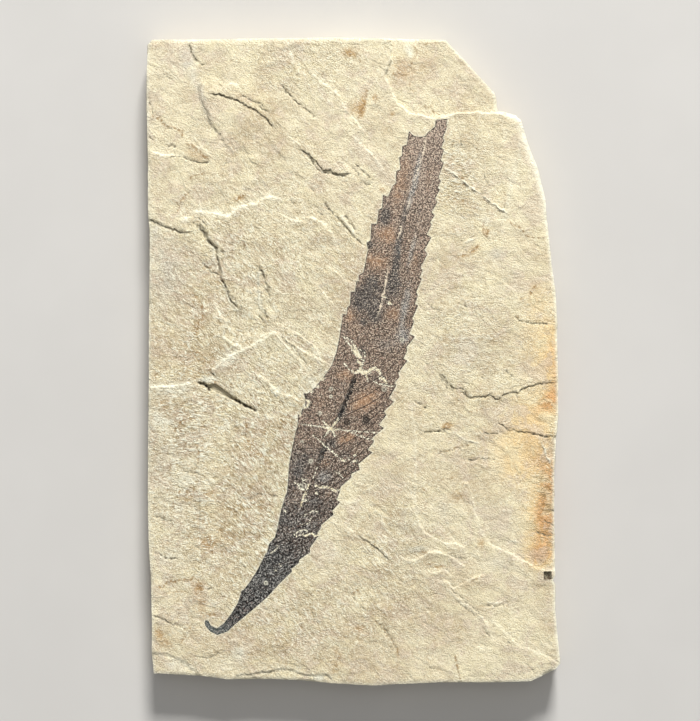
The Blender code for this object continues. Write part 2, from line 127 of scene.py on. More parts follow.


# Each row has the form, size, width and fade of a mark, and then the points of its path.
# The slot's dark crescent and its dark far end: cracks whose dark is painted shade inside the slot.
BREAKS = """
# Loose corners and the broken foot.
FLAKE 0.8 0.6 0: 12.2,106.8 12.4,102.2 12.2,99.2 10.7,95.9 11.3,93.4 12.6,90.1 14.3,87.2 16.3,85.1 18.8,83
  22.2,82 25.8,81.3 30.5,81.7 35.8,82.8 42.2,83 48,82.6 53.5,81.5
FLAKE 0.42 1.5 0: -49.5,-106.8 -51.2,-105.2 -52.8,-103.2 -54.8,-101.3 -57.2,-99.7 -59.5,-98.7 -62.5,-97.8
  -66.2,-97.3 -69.2,-97
FLAKE 0.38 1.1 0: -7.2,-106.8 -9,-104.2 -15.5,-104.8 -20.8,-102.7 -26,-102.7 -32.8,-104.2 -38.2,-104.8
  -40.5,-106.8
# Upper left.
GROOVE 0.4 0.5 0: -54.7,106.5 -54.5,103.6 -53.7,101.5 -52.4,100.1 -49.9,98.8
GROOVE 0.35 1.3 0: -51,92.6 -51.2,90.1 -50.5,87.2 -49.9,84.7 -48.5,81.7 -47.8,79.7 -46.2,77.6 -44.2,75.1
LEDGE 0.34 1.2 6: -51,92.6 -51.2,90.1 -49.9,84.7 -47.8,79.7 -44.2,75.1 -40.5,69.8
GROOVE 0.3 0.4 0: -54.9,81.2 -52,80.7 -48.7,79.7
LEDGE 0.5 0.3 6: -47.6,89.2 -44.1,88.8 -39.5,87.2 -35.7,85.1 -32.4,83.4 -29.5,81.3 -27,78.4
CRACK 0.5 0.22 0: -47.6,89.2 -44.1,88.8 -39.5,87.2 -35.7,85.1 -32.4,83.4 -29.5,81.3 -27,78.4
CRACK 0.35 0.22 0: -38.2,88.4 -35.7,87.8 -33.7,86.5 -30.7,85.9 -29.5,84.7
CRACK 0.35 0.25 0: -31.2,84.9 -28,82.8
LEDGE -0.3 0.4 3: -43.7,91.3 -42,92.2 -38.2,92.4
CRACK 0.25 0.22 0: -63.7,96.3 -59.9,93.4
CRACK 0.3 0.25 0: -68.2,87.8 -67.4,85.2 -67,82.2
CRACK 0.3 0.25 0: -68.2,75.2 -66.6,73.8
CRACK 0.25 0.35 0: -62.4,71.3 -60.7,72 -58.7,71.3
LEDGE -0.34 0.45 4: -54.1,73.4 -52.8,71.7 -49.5,70.5 -47.8,68.8
LEDGE -0.4 0.45 4: -67.8,70.5 -65.3,69.2 -62.8,68.8 -57.4,68.4
CRACK 0.4 0.24 0: -61.2,68 -57.4,68.2 -54.5,67 -51.6,66.2 -47.8,66.3
CRACK 0.25 0.22 0: -43.2,66.5 -40.7,65.9
LEDGE 0.34 0.3 4: -36.8,72.2 -35.7,70.5 -35.3,68.4 -33.7,66.5 -31.2,64.7
LEDGE 0.3 0.3 4: -26.8,71.2 -23,67.8
STAIN 0.8 0.4 0: -67,81.7 -64.9,81.3 -63.2,79.7 -62.2,77.8 -59.1,77.8 -57,76.5 -57.2,74.5
STAIN 0.7 0.35 0: -46.2,100.1 -44.1,99.5 -42.4,99 -40.3,100.7
STAIN 0.6 0.35 0: -64.5,101.5 -62.4,103.6 -59.9,102.6
STAIN 1 0.9 0: -55.7,72 -53.7,72.2 -52.4,70.3 -50.3,68.8 -48.2,68
STAIN 0.8 0.4 0: -54.9,54.9 -57,53.4 -58.7,53 -57.8,51.7
STAIN 0.8 0.4 0: -54.1,60.1 -54.1,61.5 -51.6,62.4 -49.5,62.6
STAIN 0.9 0.8 0: -39.5,53.8 -37.8,54.8 -36.5,55.5
# Upper middle.
LEDGE -0.3 0.35 5: -14.5,97.2 -12,94.2 -9.1,92.2 -6.6,90.1 -4.9,88.8 -3.7,85.9 -1.2,83 2.2,78.4 4.2,75.9
CRACK 0.4 0.26 0: -24.5,92.8 -22.8,90.1 -20.3,88 -18.2,85.9 -16.2,84.2 -12.8,81.3
LEDGE -0.3 0.35 3: -21.6,104.7 -20.3,100.9 -18.2,96.7 -17,95.1
LEDGE -0.25 0.35 3: -22,75.9 -18.2,72.2
LEDGE 0.5 0.35 6: -18.2,70.5 -15.7,69.5 -14.1,68 -12,65.7 -10.3,64 -7.8,63.8 -6.2,62.9 -3.7,62.4 -1.2,62.6
CRACK 0.36 0.2 0: -18.2,70.5 -15.7,69.5 -14.1,68 -12,65.7 -10.3,64 -7.8,63.8 -6.2,62.9 -3.7,62.4 -1.2,62.6
CRACK 0.4 0.22 0: -14.9,68 -13.2,65.7 -12,64 -10.3,63.2 -6.6,62.7 -3.7,61.7 -2,61.5
CRACK 0.3 0.26 0: 0.5,66.2 2.2,64.2 4.7,61.7 6.3,60.3
CRACK 0.25 0.26 0: -1.6,65.7 0.5,63.8 2.2,61.3
CRACK 0.25 0.24 0: 2.2,59.7 5.5,58.8 6.3,59.2
LEDGE -0.34 0.5 4: -0.5,75.2 2.2,72.6 4.7,70.5 7.6,67.2 10.1,64.2
STAIN 0.9 0.9 0: 4.7,90.9 4.3,88.8 3.4,85.9 2.8,83.8 1.8,80.5
STAIN 0.7 0.8 0: -2.5,103.2 -1.2,101.5 0.2,100.5
STAIN 0.6 0.8 0: -0.2,102.5 1.8,100.5 4.2,98.8
STAIN 0.7 0.5 0: 6.8,86.8 7.5,85.8
STAIN 0.8 0.4 0: 13,96.8 13.4,95.7 15.5,95.3 18,95.9
STAIN 0.8 0.4 0: 20.8,105.2 20.7,102.2 19.7,100.2 18.8,97.6
STAIN 0.9 0.9 0: 15.2,97.8 15.8,97.3
STAIN 0.8 0.4 0: 18.4,93.8 19.2,90.9 21.3,90.2
# Upper right.
RIDGE 0.5 0.24 0: 29.5,65.5 33.8,62.2 38.8,58.5 42.2,56 45.5,53.5 48.8,51 51.2,49.5
CRACK 0.22 0.25 0: 35.5,74.7 36.3,71.3
CRACK 0.25 0.22 0: 43.8,62.6 44.3,60.1 45.1,58.8
RIDGE 0.15 0.3 0: 34.3,42.8 37.6,43.2
RIDGE 0.15 0.3 0: 36.8,39.7 40.5,40.9
STAIN 0.8 0.4 0: 23.4,85.9 24.7,84.7 26.3,85.1
STAIN 0.8 0.4 0: 26.1,83.4 28.4,82.6 29.7,82.6
STAIN 0.7 0.9 0: 34.3,102.2 35.5,100.5 37.6,98.6
STAIN 0.7 0.4 0: 22.2,106.2 25.5,106 30.8,106.2
STAIN 0.6 0.8 0: 33.2,75.2 33.2,71.2
STAIN 0.8 0.5 0: 33,63.8 35.8,61.3 38,60.2
STAIN 0.8 0.35 0: 49.7,57.6 50.5,55.5 50.3,53 49.8,50.9
STAIN 0.9 0.4 0: 51.3,47.2 53,45.5 55.1,45.1 56.8,43 58.4,41.7 61.8,41.3 64.3,41.5
STAIN 1.1 0.5 0: 43.8,47.2 43,44.7 43,43 44.3,41.7 44.8,43.4 45.5,43.8
STAIN 0.8 1.1 0: 41.5,38.8 40.1,37.2 38,35.5 34.3,34.9
STAIN 0.7 0.4 0: 28.8,56.3 31.3,55.1 34.7,53.8 37.6,53.4
STAIN 1 0.7 0: 60.8,25.5 59.5,23.5 58.5,21.5
STAIN 0.9 0.8 0: 55.5,21.2 56.5,20.2
# Left.
GROOVE 0.7 0.9 0: -68.2,47.2 -65.7,46.3 -62.8,44.9 -60.3,44 -56.6,42.8
LEDGE 0.45 0.3 4: -73.2,49.5 -68.5,47.3 -65.5,46.2 -62.8,44.8 -60.3,44 -56.5,42.8 -53.8,43.2
CRACK 0.35 0.3 0: -53.5,46.5 -52.2,44.5
CRACK 0.35 0.3 0: -51.8,47.8 -50.5,46.5 -48.5,45.2
GROOVE 1.1 1.1 0: -51.5,45.5 -49.8,43.2 -48.5,40.5 -47.2,39.2 -45.5,37.2
GROOVE 0.5 0.9 0: -45.8,37.2 -45.3,34.5 -44.5,31.5 -43.8,29.2
CRACK 0.3 0.22 0: -45.5,35.5 -45.3,33.2 -44.8,31.2 -44,29.2
LEDGE 0.55 1.2 9: -51.6,45.2 -49.5,42.6 -47.8,40.1 -45.7,37.6 -45.2,35.2 -44.8,32.2 -44.2,28.8 -42.5,24.2
  -40.8,20.5 -38.8,18.2 -37.5,15.8
CRACK 0.55 0.32 0: -44.3,27.2 -43.2,25.5 -42.2,24.2
CRACK 0.4 0.36 0: -42.2,24.2 -41.5,21.8 -40.8,20.3 -39.2,18.5
GROOVE 0.3 1 0: -41.5,23.2 -39.8,20.8 -37.8,18.5 -37.5,16.5
RIDGE 0.24 0.5 0: -47.2,38.2 -46.6,36.5 -46.4,33.2 -45.7,29.8
RIDGE 0.26 0.35 0: -43.8,26.2 -42.8,23.8 -41.8,21.2 -40.7,19.2 -39.5,17.7 -38.7,16.8 -38.3,13.8
RIDGE 0.2 0.28 0: -43.2,33.2 -41.5,31.8 -40.5,30.5
CRACK 0.3 0.24 0: -44.8,37.5 -43.2,36.2
GROOVE 0.9 0.9 0: -31.3,31.8 -30.5,29.5 -29.5,27.2
GROOVE 0.6 0.7 0: -29.5,27.2 -28.8,24.8 -27.8,21.5
CRACK 0.35 0.24 0: -31.2,30.5 -29.8,28.2
CRACK 0.35 0.22 0: -29.2,27.2 -27.8,23.2
CRACK 0.35 0.22 0: -29.8,25.2 -28.8,23.2 -27.8,20.8
LEDGE 0.35 0.9 6: -32.2,33.2 -31.8,28.8 -31.5,23.8 -30.5,19.5 -29.2,13.5
RIDGE 0.26 0.6 0: -31.8,29.8 -31.5,25.5 -31.7,21.5 -30.8,18.8 -30,17.2
CRACK 0.5 0.3 0: -29.8,17.2 -29.2,15.2 -28.5,14
CRACK 0.4 0.3 0: -31.5,15.2 -30.2,13.2
CRACK 0.35 0.2 0: -50.8,33.2 -49.2,31.5 -47.5,29.8 -45.8,29.2 -44.2,28.2
LEDGE -0.5 1 9: -57.8,47.2 -53.2,48.4 -52.8,50.1 -47.8,49.7 -42,48.6 -39.5,50.5 -36.2,52.2 -32.4,53
  -29.9,54.2 -27.4,55.1 -24.5,54.2
LEDGE -0.3 0.5 5: -24.5,48.8 -22,48 -19.2,47 -17,46.5
LEDGE -0.42 0.45 6: -17.6,47.8 -14.5,48 -12,47.2 -9.9,45.5 -7.8,43.4 -6.6,40.9 -6.6,39.7
RIDGE 0.28 0.55 0: -4.1,48.8 -2.4,45.9 0.1,43
CRACK 0.3 0.24 0: -3.2,49.2 -1.2,46.5 0.8,43.8
CRACK 0.45 0.28 0: -9.5,53 -7.8,50.5 -6.6,49.2 -3.7,45.9 -1.2,43 2.2,39.7 3,38.4
CRACK 0.25 0.28 0: -21.2,53.8 -19.2,51.3
CRACK 0.25 0.26 0: -12,50.5 -9.9,48.5
CRACK 0.25 0.26 0: -14.9,58.5 -13.2,56.8
LEDGE -0.6 0.5 6: -46.7,19.5 -45.5,17.2 -44.2,15.2 -42.5,13.2 -42.5,10.5 -43.2,8.5 -42.2,7.2 -40.8,6.2
  -38.8,5.3 -37.2,4.2
LEDGE -0.45 0.5 7: -47.2,-3.5 -44.5,-0.5 -41.2,1.8 -39.2,2.8 -36.8,3.8 -35.2,4.7 -31,7.1 -26.4,10.2
STAIN 1.2 0.55 0: -50.8,19.2 -50.5,17.2 -50.3,14.8 -51.5,13.2 -51.8,11.5 -52.8,9.8
STAIN 0.7 0.35 0: -53.2,10.2 -51.2,7.2 -49.2,5.2
STAIN 0.8 0.4 0: -52.8,2.8 -51.2,2.8 -49.2,1.5
STAIN 0.8 0.45 0: -52.2,0.2 -50.2,0.5 -48.5,-0.2
STAIN 0.8 0.4 0: -53.8,22.8 -52.8,22.2 -51.5,20.8
STAIN 0.9 0.5 0: -64.5,27.5 -63.8,26.8
# Beside the leaf.
LEDGE -0.34 0.32 3: -29.1,11.7 -25.5,8.5 -21.8,4.7 -17.2,-0.7 -15.2,-4.2 -13.7,-9.2
LEDGE -0.3 0.3 2.5: -24.8,12.5 -18.7,9.4 -12.5,4 -9.4,-3
LEDGE -0.3 0.3 2.5: -32.2,8.2 -26.2,9.8 -19.5,5.5 -12.8,1.5 -7.8,-1.2
LEDGE -0.26 0.3 2.5: -27.8,12.2 -17.8,8.2 -9.5,1.5
CRACK 0.3 0.24 0: -24.2,8.5 -20.8,5.5 -17.8,2.2 -15.8,-0.8
CRACK 0.25 0.22 0: -21.2,9.5 -16.5,7.2 -12.5,3.5
LEDGE -0.25 0.35 3: -8.5,31.8 -4.5,28.8 -1.2,26.2
LEDGE -0.25 0.35 3: -10.5,23.8 -7.8,20.5 -4.5,16.5
LEDGE -0.38 0.32 4: -32.8,-4.2 -29.5,-5.8 -26.5,-8.8 -24.8,-10.5 -21.2,-11.5 -16.8,-12.5
RIDGE 0.18 0.28 0: -30.2,-5.2 -27.8,-8.2 -25.8,-11.2
# Lower left, round the slot.
LEDGE -0.45 0.8 9: -68.8,-8.8 -64.5,-8.3 -59.5,-8 -53.5,-6.8
RIDGE 0.15 0.3 0: -40.5,-9.8 -37.8,-9.5 -34.5,-8.8 -30.5,-10.5
CRACK 0.9 0.75 0: -52.2,-7 -50.5,-7.4 -49.2,-8.3 -47.8,-9.3
CRACK 0.8 0.45 0: -41.3,-11.8 -37.8,-13.8 -34.5,-15.5 -32.2,-16.5
CRACK 0.5 0.3 0: -47.8,-3.7 -46.3,-4.9
RIDGE 0.2 0.3 0: -46.5,-10.2 -43.2,-12.2 -40.5,-13.5 -37.8,-14.7 -35.2,-16
CRACK 0.25 0.25 0: -56.5,-36.5 -53.5,-36.8 -51.2,-37.8
CRACK 0.25 0.25 0: -36.8,-45.5 -34.5,-46.2 -32.5,-44.5 -30.5,-44.2 -27.2,-44.8 -24.5,-45.2
CRACK 0.25 0.26 0: -66.2,-51.8 -64.5,-52.2 -62.2,-53.2 -60.2,-53.2
CRACK 0.35 0.32 0: -66.5,-63.8 -64.5,-64.5 -62.8,-65.5 -58.5,-65.5
CRACK 0.2 0.25 0: -53.8,-61.2 -51.2,-62.2
SEAM 0.1 0.25 0: -51.5,-18.2 -51.2,-65.2
STAIN 0.9 0.6 0: -62.8,-11.8 -61.5,-10.8 -60.2,-10.5
STAIN 0.8 0.5 0: -60.5,-14.5 -58.5,-14.2 -55.5,-13.8
STAIN 0.8 0.4 0: -67.8,-18.5 -66.2,-18.8 -65.2,-19.5
STAIN 1 0.45 0: -59.8,-23.5 -58.5,-21.2 -56.8,-19.8 -54.5,-18.8 -52.2,-18.8 -50.2,-18.5
STAIN 1.1 0.5 0: -52.2,-27.8 -51.5,-31.2 -52.2,-33.8
STAIN 0.7 0.35 0: -62.8,-30.5 -59.2,-30.2 -56.2,-30.5
STAIN 0.9 0.45 0: -35.8,-19.5 -35.8,-25.2 -33.8,-27.5 -33.2,-31.2 -31.2,-32.2
STAIN 1.2 0.5 0: -37.8,-29.2 -37.2,-29.5
STAIN 0.8 0.4 0: -58.8,-45.5 -57.5,-42.8 -55.5,-43.2 -55.2,-44.8
STAIN 0.8 0.4 0: -60.2,-46.2 -59.8,-49.2
STAIN 0.9 0.6 0: -49.2,-44.2 -48.5,-45.5
STAIN 0.9 0.7 0: -43.8,-46.5 -41.5,-46.8
STAIN 1.2 0.7 0: -32.2,-48.5 -30.2,-49.2
STAIN 0.8 0.5 0: -31.2,-47.2 -29.8,-46.5
STAIN 0.7 0.7 0: -45.5,-56.8 -43.2,-55.5 -40.8,-54.2
STAIN 0.9 0.6 0: -48.8,-58.5 -48.2,-61.2 -47.2,-63.5 -46.5,-64.5
STAIN 0.7 0.4 0: -45.2,-63.5 -40.8,-63.5
STAIN 0.7 0.5 0: -60.5,-57.8 -57.5,-56.5
STAIN 0.9 0.5 0: -55.8,-57.8 -54.5,-58.8 -51.2,-58.8
STAIN 0.8 0.5 0: -63.5,-62.2 -62.2,-60.2 -60.5,-60.5
STAIN 0.8 0.5 0: -36.8,-55.5 -36.5,-57.8
STAIN 1 0.5 0: -65.5,-74.8 -63.5,-75.2 -61.8,-73.2 -59.5,-73.5 -57.2,-72.8 -54.5,-72.8 -53.2,-71.8
  -51.8,-72.8 -50.5,-75.5
# Foot of the plate, left.
GROOVE 0.35 0.5 0: -66.8,-84.8 -64.5,-85.5 -62.5,-86.5 -60.5,-87.5
LEDGE 0.3 0.3 4: -66.8,-84.8 -64.5,-85.5 -62.5,-86.5 -60.5,-87.5 -57.2,-87.8
CRACK 0.3 0.28 0: -48.8,-76.8 -47.8,-75.5 -46.8,-75.8
CRACK 0.22 0.2 0: -51.2,-98.5 -47.8,-98.8 -45.2,-97.5 -42.5,-96.5
CRACK 0.2 0.2 0: -36.2,-104.5 -33.5,-104.2 -31.2,-103.8 -28.5,-103.5 -26.2,-103.5
RIDGE 0.2 0.35 0: -37.8,-66.5 -36.2,-67.5 -34.8,-69.5
RIDGE 0.15 0.3 0: -47.5,-80.5 -45.2,-80.5 -43.8,-79.5
STAIN 0.8 0.35 0: -57.2,-89.2 -54.5,-88.5 -55.2,-90.2 -56.5,-92.5 -57.5,-94.5
STAIN 1 0.9 0: -52.5,-74.5 -50.5,-76.8
STAIN 1 0.8 0: -51.2,-79.5 -49.5,-80.8
STAIN 0.9 0.6 0: -49.2,-85.2 -47.8,-84.2 -45.8,-84.5
STAIN 0.6 0.4 0: -62.8,-77.2 -56.2,-76.8 -53.5,-77.5
LEDGE -0.2 0.4 4: -41.5,-94.5 -40.5,-92.8 -38.5,-92.5 -36.8,-94.5 -37.2,-96.8
GROOVE 0.3 0.45 0: -14.5,-82.5 -13.2,-84.5 -12.8,-86.8
RIDGE 0.2 0.35 0: -14.8,-95.5 -13.2,-94.5 -11.5,-93.5
GROOVE 0.3 0.5 0: -23.5,-100.2 -19.5,-101.2 -16.2,-103.2 -13.8,-105.5
GROOVE 0.25 0.4 0: -11.2,-103.8 -7.8,-105.2 -6.2,-106.8
# Lower middle.
GROOVE 0.35 0.45 0: 4.5,-59.5 6.2,-61.2 7.8,-62.2 8.8,-62.8 10.5,-65.2 11.8,-66.5
LEDGE 0.4 0.3 4: 0.8,-57.8 4.5,-59.8 7.8,-62.2 10.5,-65.2 11.8,-66.8
LEDGE -0.26 0.35 3: -2.8,-54.5 2.2,-59.5
RIDGE 0.15 0.3 0: 7.2,-49.5 9.2,-51.8 10.2,-55.2
RIDGE 0.15 0.3 0: -4.5,-46.2 -1.2,-47.2 2.2,-46.2
RIDGE 0.15 0.3 0: 3.8,-43.2 6.2,-42.2 8.5,-41.5
CRACK 0.5 0.4 0: 5.3,-51.3 6,-52
CRACK 0.4 0.4 0: 12.5,-95.5 13.2,-96.2
GROOVE 0.3 0.45 0: -0.2,-78.8 1.5,-80.8 3.5,-82.5 4.8,-83.5
GROOVE 0.32 0.6 0: 7.2,-86.2 10.5,-89.5 12.8,-93.2 14.5,-95.5
STAIN 0.9 0.6 0: -0.2,-78.2 0.8,-76.2 2.2,-77.5
STAIN 0.8 0.6 0: 7.2,-86.2 10.5,-89.5 12.8,-93.2 14.5,-95.5 14.8,-98.8
STAIN 0.6 1.6 0: -6.2,-94.8 -5.2,-99.5 -6.2,-104.2
STAIN 0.9 0.5 0: 15.8,-71.2 16.5,-71.8
# Lower right.
CRACK 0.34 0.2 0: 29.5,-4.2 31.2,-6.8 32.8,-8.8 34.5,-9.8
GROOVE 0.9 0.9 0: 28.8,-4.5 30.2,-6.5 31.8,-8.5 33.5,-9.5
CRACK 0.5 0.26 0: 35.2,-9.2 36.5,-9.5 37.5,-11.5 38.2,-11.8
CRACK 0.35 0.2 0: 38.8,-12.2 40.8,-11.8 42.8,-11.5 44.2,-11.5 45.5,-10.8
CRACK 0.4 0.2 0: 45.5,-10.8 46.5,-12.2 48.2,-12.8 49.2,-11.8 50.8,-10.8 52.8,-10.3 54.5,-10.2 56.2,-9.2
  58.2,-8.3 60.2,-7.8 62.2,-7.5 63.5,-8.2
LEDGE 0.4 0.3 5: 35.2,-9.2 37.5,-11.5 40.8,-11.8 45.5,-11.2 48.2,-12.8 50.8,-10.8 54.5,-10.2 58.2,-8.3
  62.2,-7.5 67.5,-6.5
GROOVE 0.25 0.4 0: 51.3,-9.3 53.8,-8.5 58.4,-7.2 63.2,-6.9 67.4,-5.8
CRACK 0.3 0.22 0: 66.2,-4.2 67.8,-4.5
CRACK 0.2 0.2 0: 54.2,-10.2 54.8,-12.8
CRACK 0.35 0.28 0: 20.5,-13.2 22.5,-14.5 24.5,-15.8
SEAM 0.4 0.3 0: 23.5,-23.6 29.2,-23.4
SEAM 0.3 0.2 0: 29.2,-23.6 48.2,-24.1
CRACK 0.3 0.22 0: 43.2,-24 48.2,-24.2
CRACK 0.5 0.3 0: 24.8,-23.5 26.8,-23.3 29.2,-23.2
RIDGE 0.2 0.32 0: 34.2,-23.8 36.5,-25.8 39.5,-26.8 42.2,-27.2
CRACK 0.32 0.2 0: 48.2,-20.2 50.2,-21.8 52.5,-22.2 53.8,-23.2 55.5,-23.8 57.8,-23.5 59.8,-24.2 61.5,-24.2
  62.8,-25.2 64.8,-25.2 66.8,-24.8
LEDGE 0.3 0.3 4: 48.2,-20.2 50.2,-21.8 53.8,-23.2 57.8,-23.5 61.5,-24.2 64.8,-25.2 67.8,-24.8
CRACK 0.4 0.26 0: 36.8,-33 38.8,-32.8 41.5,-32.5
CRACK 0.22 0.2 0: 41.5,-32.5 43.8,-32.5 47.5,-32.8
RIDGE 0.2 0.4 0: 42.2,-31.3 43.8,-32.2
RIDGE 0.3 0.3 0: 62.5,-26.5 64.2,-30.8 66.2,-35.5
CRACK 0.25 0.22 0: 50.5,-3.2 53.5,-5.2
CRACK 0.25 0.22 0: 42.5,-5.2 44.5,-6.2
CRACK 0.25 0.22 0: 36.5,-6.8 38.8,-7.8
CRACK 0.22 0.22 0: 34.8,19.2 36.5,18.8 37.5,17.8 39.2,17.5
CRACK 0.22 0.22 0: 24.5,19.2 26.5,17.8 28.8,17.2
CRACK 0.4 0.24 0: 53.8,14.8 56.1,13.3 58.8,12.8 62.2,12.5 65,12.5
CRACK 0.28 0.2 0: 60.8,-56.2 62.5,-57.2 64.2,-58.2 65.8,-58.2
CRACK 0.2 0.18 0: 62.5,-52.5 64.8,-53.8 67.2,-54.8
CRACK 0.3 0.24 0: 64.2,-49.2 67.5,-50.2
STAIN 1 1 0: 30.2,-22.2 32.5,-22.5
CRACK 0.3 0.5 0: 29.8,-22.8 32.2,-22.8
STAIN 0.8 0.35 0: 34.5,-15.2 36.5,-14.8 37.5,-14.2
STAIN 0.8 0.35 0: 37.5,-16.2 39.5,-16.8 42.2,-15.8 44.2,-15.2
STAIN 0.9 0.35 0: 28.8,-30.5 32.2,-29.5 35.5,-28.2 38.8,-27.7
STAIN 1 0.9 0: 54.2,15.2 55.8,14.5
STAIN 0.8 0.35 0: 63.2,13.8 67.5,13.2
STAIN 0.8 0.35 0: 64.8,11.5 67.5,10.5
LEDGE -0.27 0.3 6: 19.4,-14.7 20.5,-23.5 20.8,-31.2 20.5,-39.5 20.5,-45.2 21.2,-49.5 22.2,-55.2 26.2,-58.5
  30.2,-60.5 33.8,-60.8 36.5,-62.2 38.5,-64.8
LEDGE -0.3 0.35 3: 18.8,-42.2 19.8,-46.2 20.5,-50.2 22.5,-55.5
LEDGE -0.28 0.3 7: 36.5,-39.8 38.8,-41.8 39.5,-45.2 40.5,-49.5 41.5,-52.8 42.8,-56.8 45.5,-60.5 49.8,-62.8
  53.8,-64.8 57.8,-66.8 60.8,-68.8 64.2,-69.8 67.5,-69.8
RIDGE 0.15 0.3 0: 49.8,-61.2 52.8,-59.8 55.5,-60.2
LEDGE -0.3 0.35 4: 15.5,-64.5 18.8,-66.2 22.2,-65.2 26.2,-63.5 31.8,-64.5 37.2,-68.5
LEDGE -0.25 0.35 3: 22.2,-69.8 26.2,-70.5 30.5,-69.5 32.8,-71.5
LEDGE -0.3 0.4 4: 28.8,-73.5 31.2,-73.8 33.2,-75.5 35.5,-74.5 38.8,-72.8 43.2,-70.8
STAIN 1 0.6 0: 18.2,-62.5 22.2,-63.5 25.5,-63.8
STAIN 1 0.6 0: 24.8,-67.5 26.8,-68.5 30.5,-68.2
STAIN 0.9 0.6 0: 22.5,-42.5 24.5,-43.2
STAIN 0.7 0.45 0: 28.8,-39.5 32.2,-39.2 33.2,-38.2
STAIN 0.7 0.45 0: 36.2,-73.5 39.5,-73.2 43.2,-70.8
GROOVE 0.25 0.45 0: 30.8,-68.8 32.8,-70.5
GROOVE 0.25 0.45 0: 32.2,-64.2 34.8,-65.2 37.2,-65.8
RIDGE 0.1 0.3 0: 31.5,-76.2 34.2,-78.8 36.5,-80.8 38.8,-82.5 40.8,-84.2 43.2,-85.8
CRACK 0.2 0.2 0: 32.2,-75.5 34.8,-77.8 37.5,-80.2 40.2,-82.5 42.8,-84.8
CRACK 0.18 0.18 0: 33.8,-79.5 36.5,-81.5 38.8,-83.5 40.8,-85.2
LEDGE -0.14 0.4 4: 33.8,-77.2 42.8,-85.2 46.7,-92.5
CRACK 0.18 0.2 0: 44.5,-81.2 46.8,-81.5 49.2,-81.5 50.8,-80.5 51.8,-80.2
RIDGE 0.15 0.3 0: 44.8,-80.2 47.2,-80.5 49.8,-80.2
CRACK 0.25 0.24 0: 43.5,-89.2 44.5,-90.5 45.8,-92.2
LEDGE -0.18 0.7 7: 45.5,-85.5 50.5,-90.2 53.8,-93.8 58.8,-96.2 63.8,-97.8 67.5,-100.2
GROOVE 0.25 0.45 0: 50.5,-92.2 52.8,-95.5 53.8,-97.8
GROOVE 0.35 0.45 0: 56.8,-99.8 58.8,-101.8 60.5,-104.2
GROOVE 0.2 0.4 0: 55.2,-100.2 56.8,-104.8
LEDGE -0.2 0.4 4: 40.8,-94.5 43.2,-95.8 45.8,-95.8
CRACK 0.2 0.22 0: 22.8,-86.2 25.5,-88.2
STAIN 0.8 0.4 0: 26.2,-80.5 25.5,-81.5 24.8,-82.8
STAIN 1 0.6 0: 33.5,-97.8 34.5,-101.2 35.2,-104.2 35.5,-106.2
STAIN 0.7 0.4 0: 33.5,-92.2 36.5,-92.2
GROOVE 0.35 0.6 0: 28.5,-30.8 32.2,-29.8 35.5,-28.8 38.2,-27.8
CRACK 0.4 0.26 0: -55.2,106.2 -54.5,103.8 -53.2,101.2 -51.5,99.5 -49.8,98.8
STAIN 1 0.5 0: -67.2,81.8 -64.5,80.5 -61.8,78.2 -59.2,77.5 -57.2,76.8 -57.5,74.8
STAIN 0.9 0.4 0: -54.2,57.2 -56.5,54.8 -57.5,52.5 -58.8,49.8
"""

SWELLINGS = """ -38.5,82,9.5,5.5,0.55,-32 -46,60,8,5,0.25,10 -30,40,16,9,0.45,-40 -48,10,10,16,-0.35,0
  38,-50,9,15,-0.3,0 52,-45,9,14,0.3,0 30,-68,7,2.6,-0.35,0 20,-64,4,1.6,-0.3,0 38,20,16,22,0.25,-20
  -52,-35,12,20,-0.25,0"""

IRON = """ 67.5,-3,5,14,0.9 61,6,9,12,0.4 67,-13,4.5,3.5,0.8 60,-17,10,8,0.55 55,-31,10,11,0.7
  64,-36,6,11,0.6 68,-42,4.5,9.5,1.1 65,-54,7.5,9,1.35 62,-65,5.5,4.5,1.1 62,22,7,9,0.35"""

BROWN = """ -1.5,103,3,2,0.7 3.2,85.8,1,4.6,0.9,-10 -55,-45.5,3.2,3.2,0.5 -48.5,-60.5,3.6,3,0.6
  -41,-59,4.6,4,0.4 -64,-14,2.4,3.4,0.5 -65,-90.5,2.2,2,0.6 0.5,84.5,3.2,3.2,0.5 23.5,97,5,9,0.3
  16,98,4,6,0.4 7.2,88,1.2,1.2,0.8 13,82.5,1,0.8,0.8 9.7,57.2,1.2,1,0.8 -53,69,4.5,2,0.5,-35
  -38,54.5,2.4,1.2,0.7,10 40,37.5,3.4,1.6,0.5,30 44,43.5,1.6,1.8,0.5 34.5,-44.8,3.6,2.4,0.55
  31.2,-21.4,2.2,1.2,1,10 42.5,-60.5,1.6,2.4,0.5 -51,13,2.2,4,0.5,-15 -46.5,8,1.5,7,0.25
  -35,-27,3.6,3,0.4,30 -31.5,-31,2,2.5,0.4 -47.5,-44,2.5,1.6,0.5 -52,-75.5,3,2.4,0.5,-40
  -50.5,-82,2.6,4.5,0.45,20 -43,-93,3.4,1.6,0.3 -62.5,-94,3,2.4,0.35 -6,-100,2.6,5,0.3 28,-93,5,4,0.3
  2,-89,2,1.4,0.6 -47,-6.5,1.5,0.9,1,-30 60.5,25,3.5,2.4,0.4,40"""

TAN = """ -53,3,16,14,1.2 -42,46,14,9,0.35 -50,62,18,10,0.4 -20,-30,8,26,0.45 -34,-42,16,22,0.75
  14,-46,12,8,0.7 20,-80,26,18,0.7 -36,-72,30,16,0.45 -34,-96,26,9,0.6 -40,-98,30,9,0.55 -6,15,5,12,0.9,-15
  -22,15,6,8,0.6 12,93,12,12,0.3"""

ROUGH = """ -14,-86,24,16,0.6 -50,-24,26,50,1 -24,-34,16,50,0.8,-18 -30,40,34,30,0.6 36,6,22,22,0.6
  14,-62,16,20,0.7 34,60,12,16,0.9 66,-44,5,18,1.2 -18,100,18,10,0.6"""

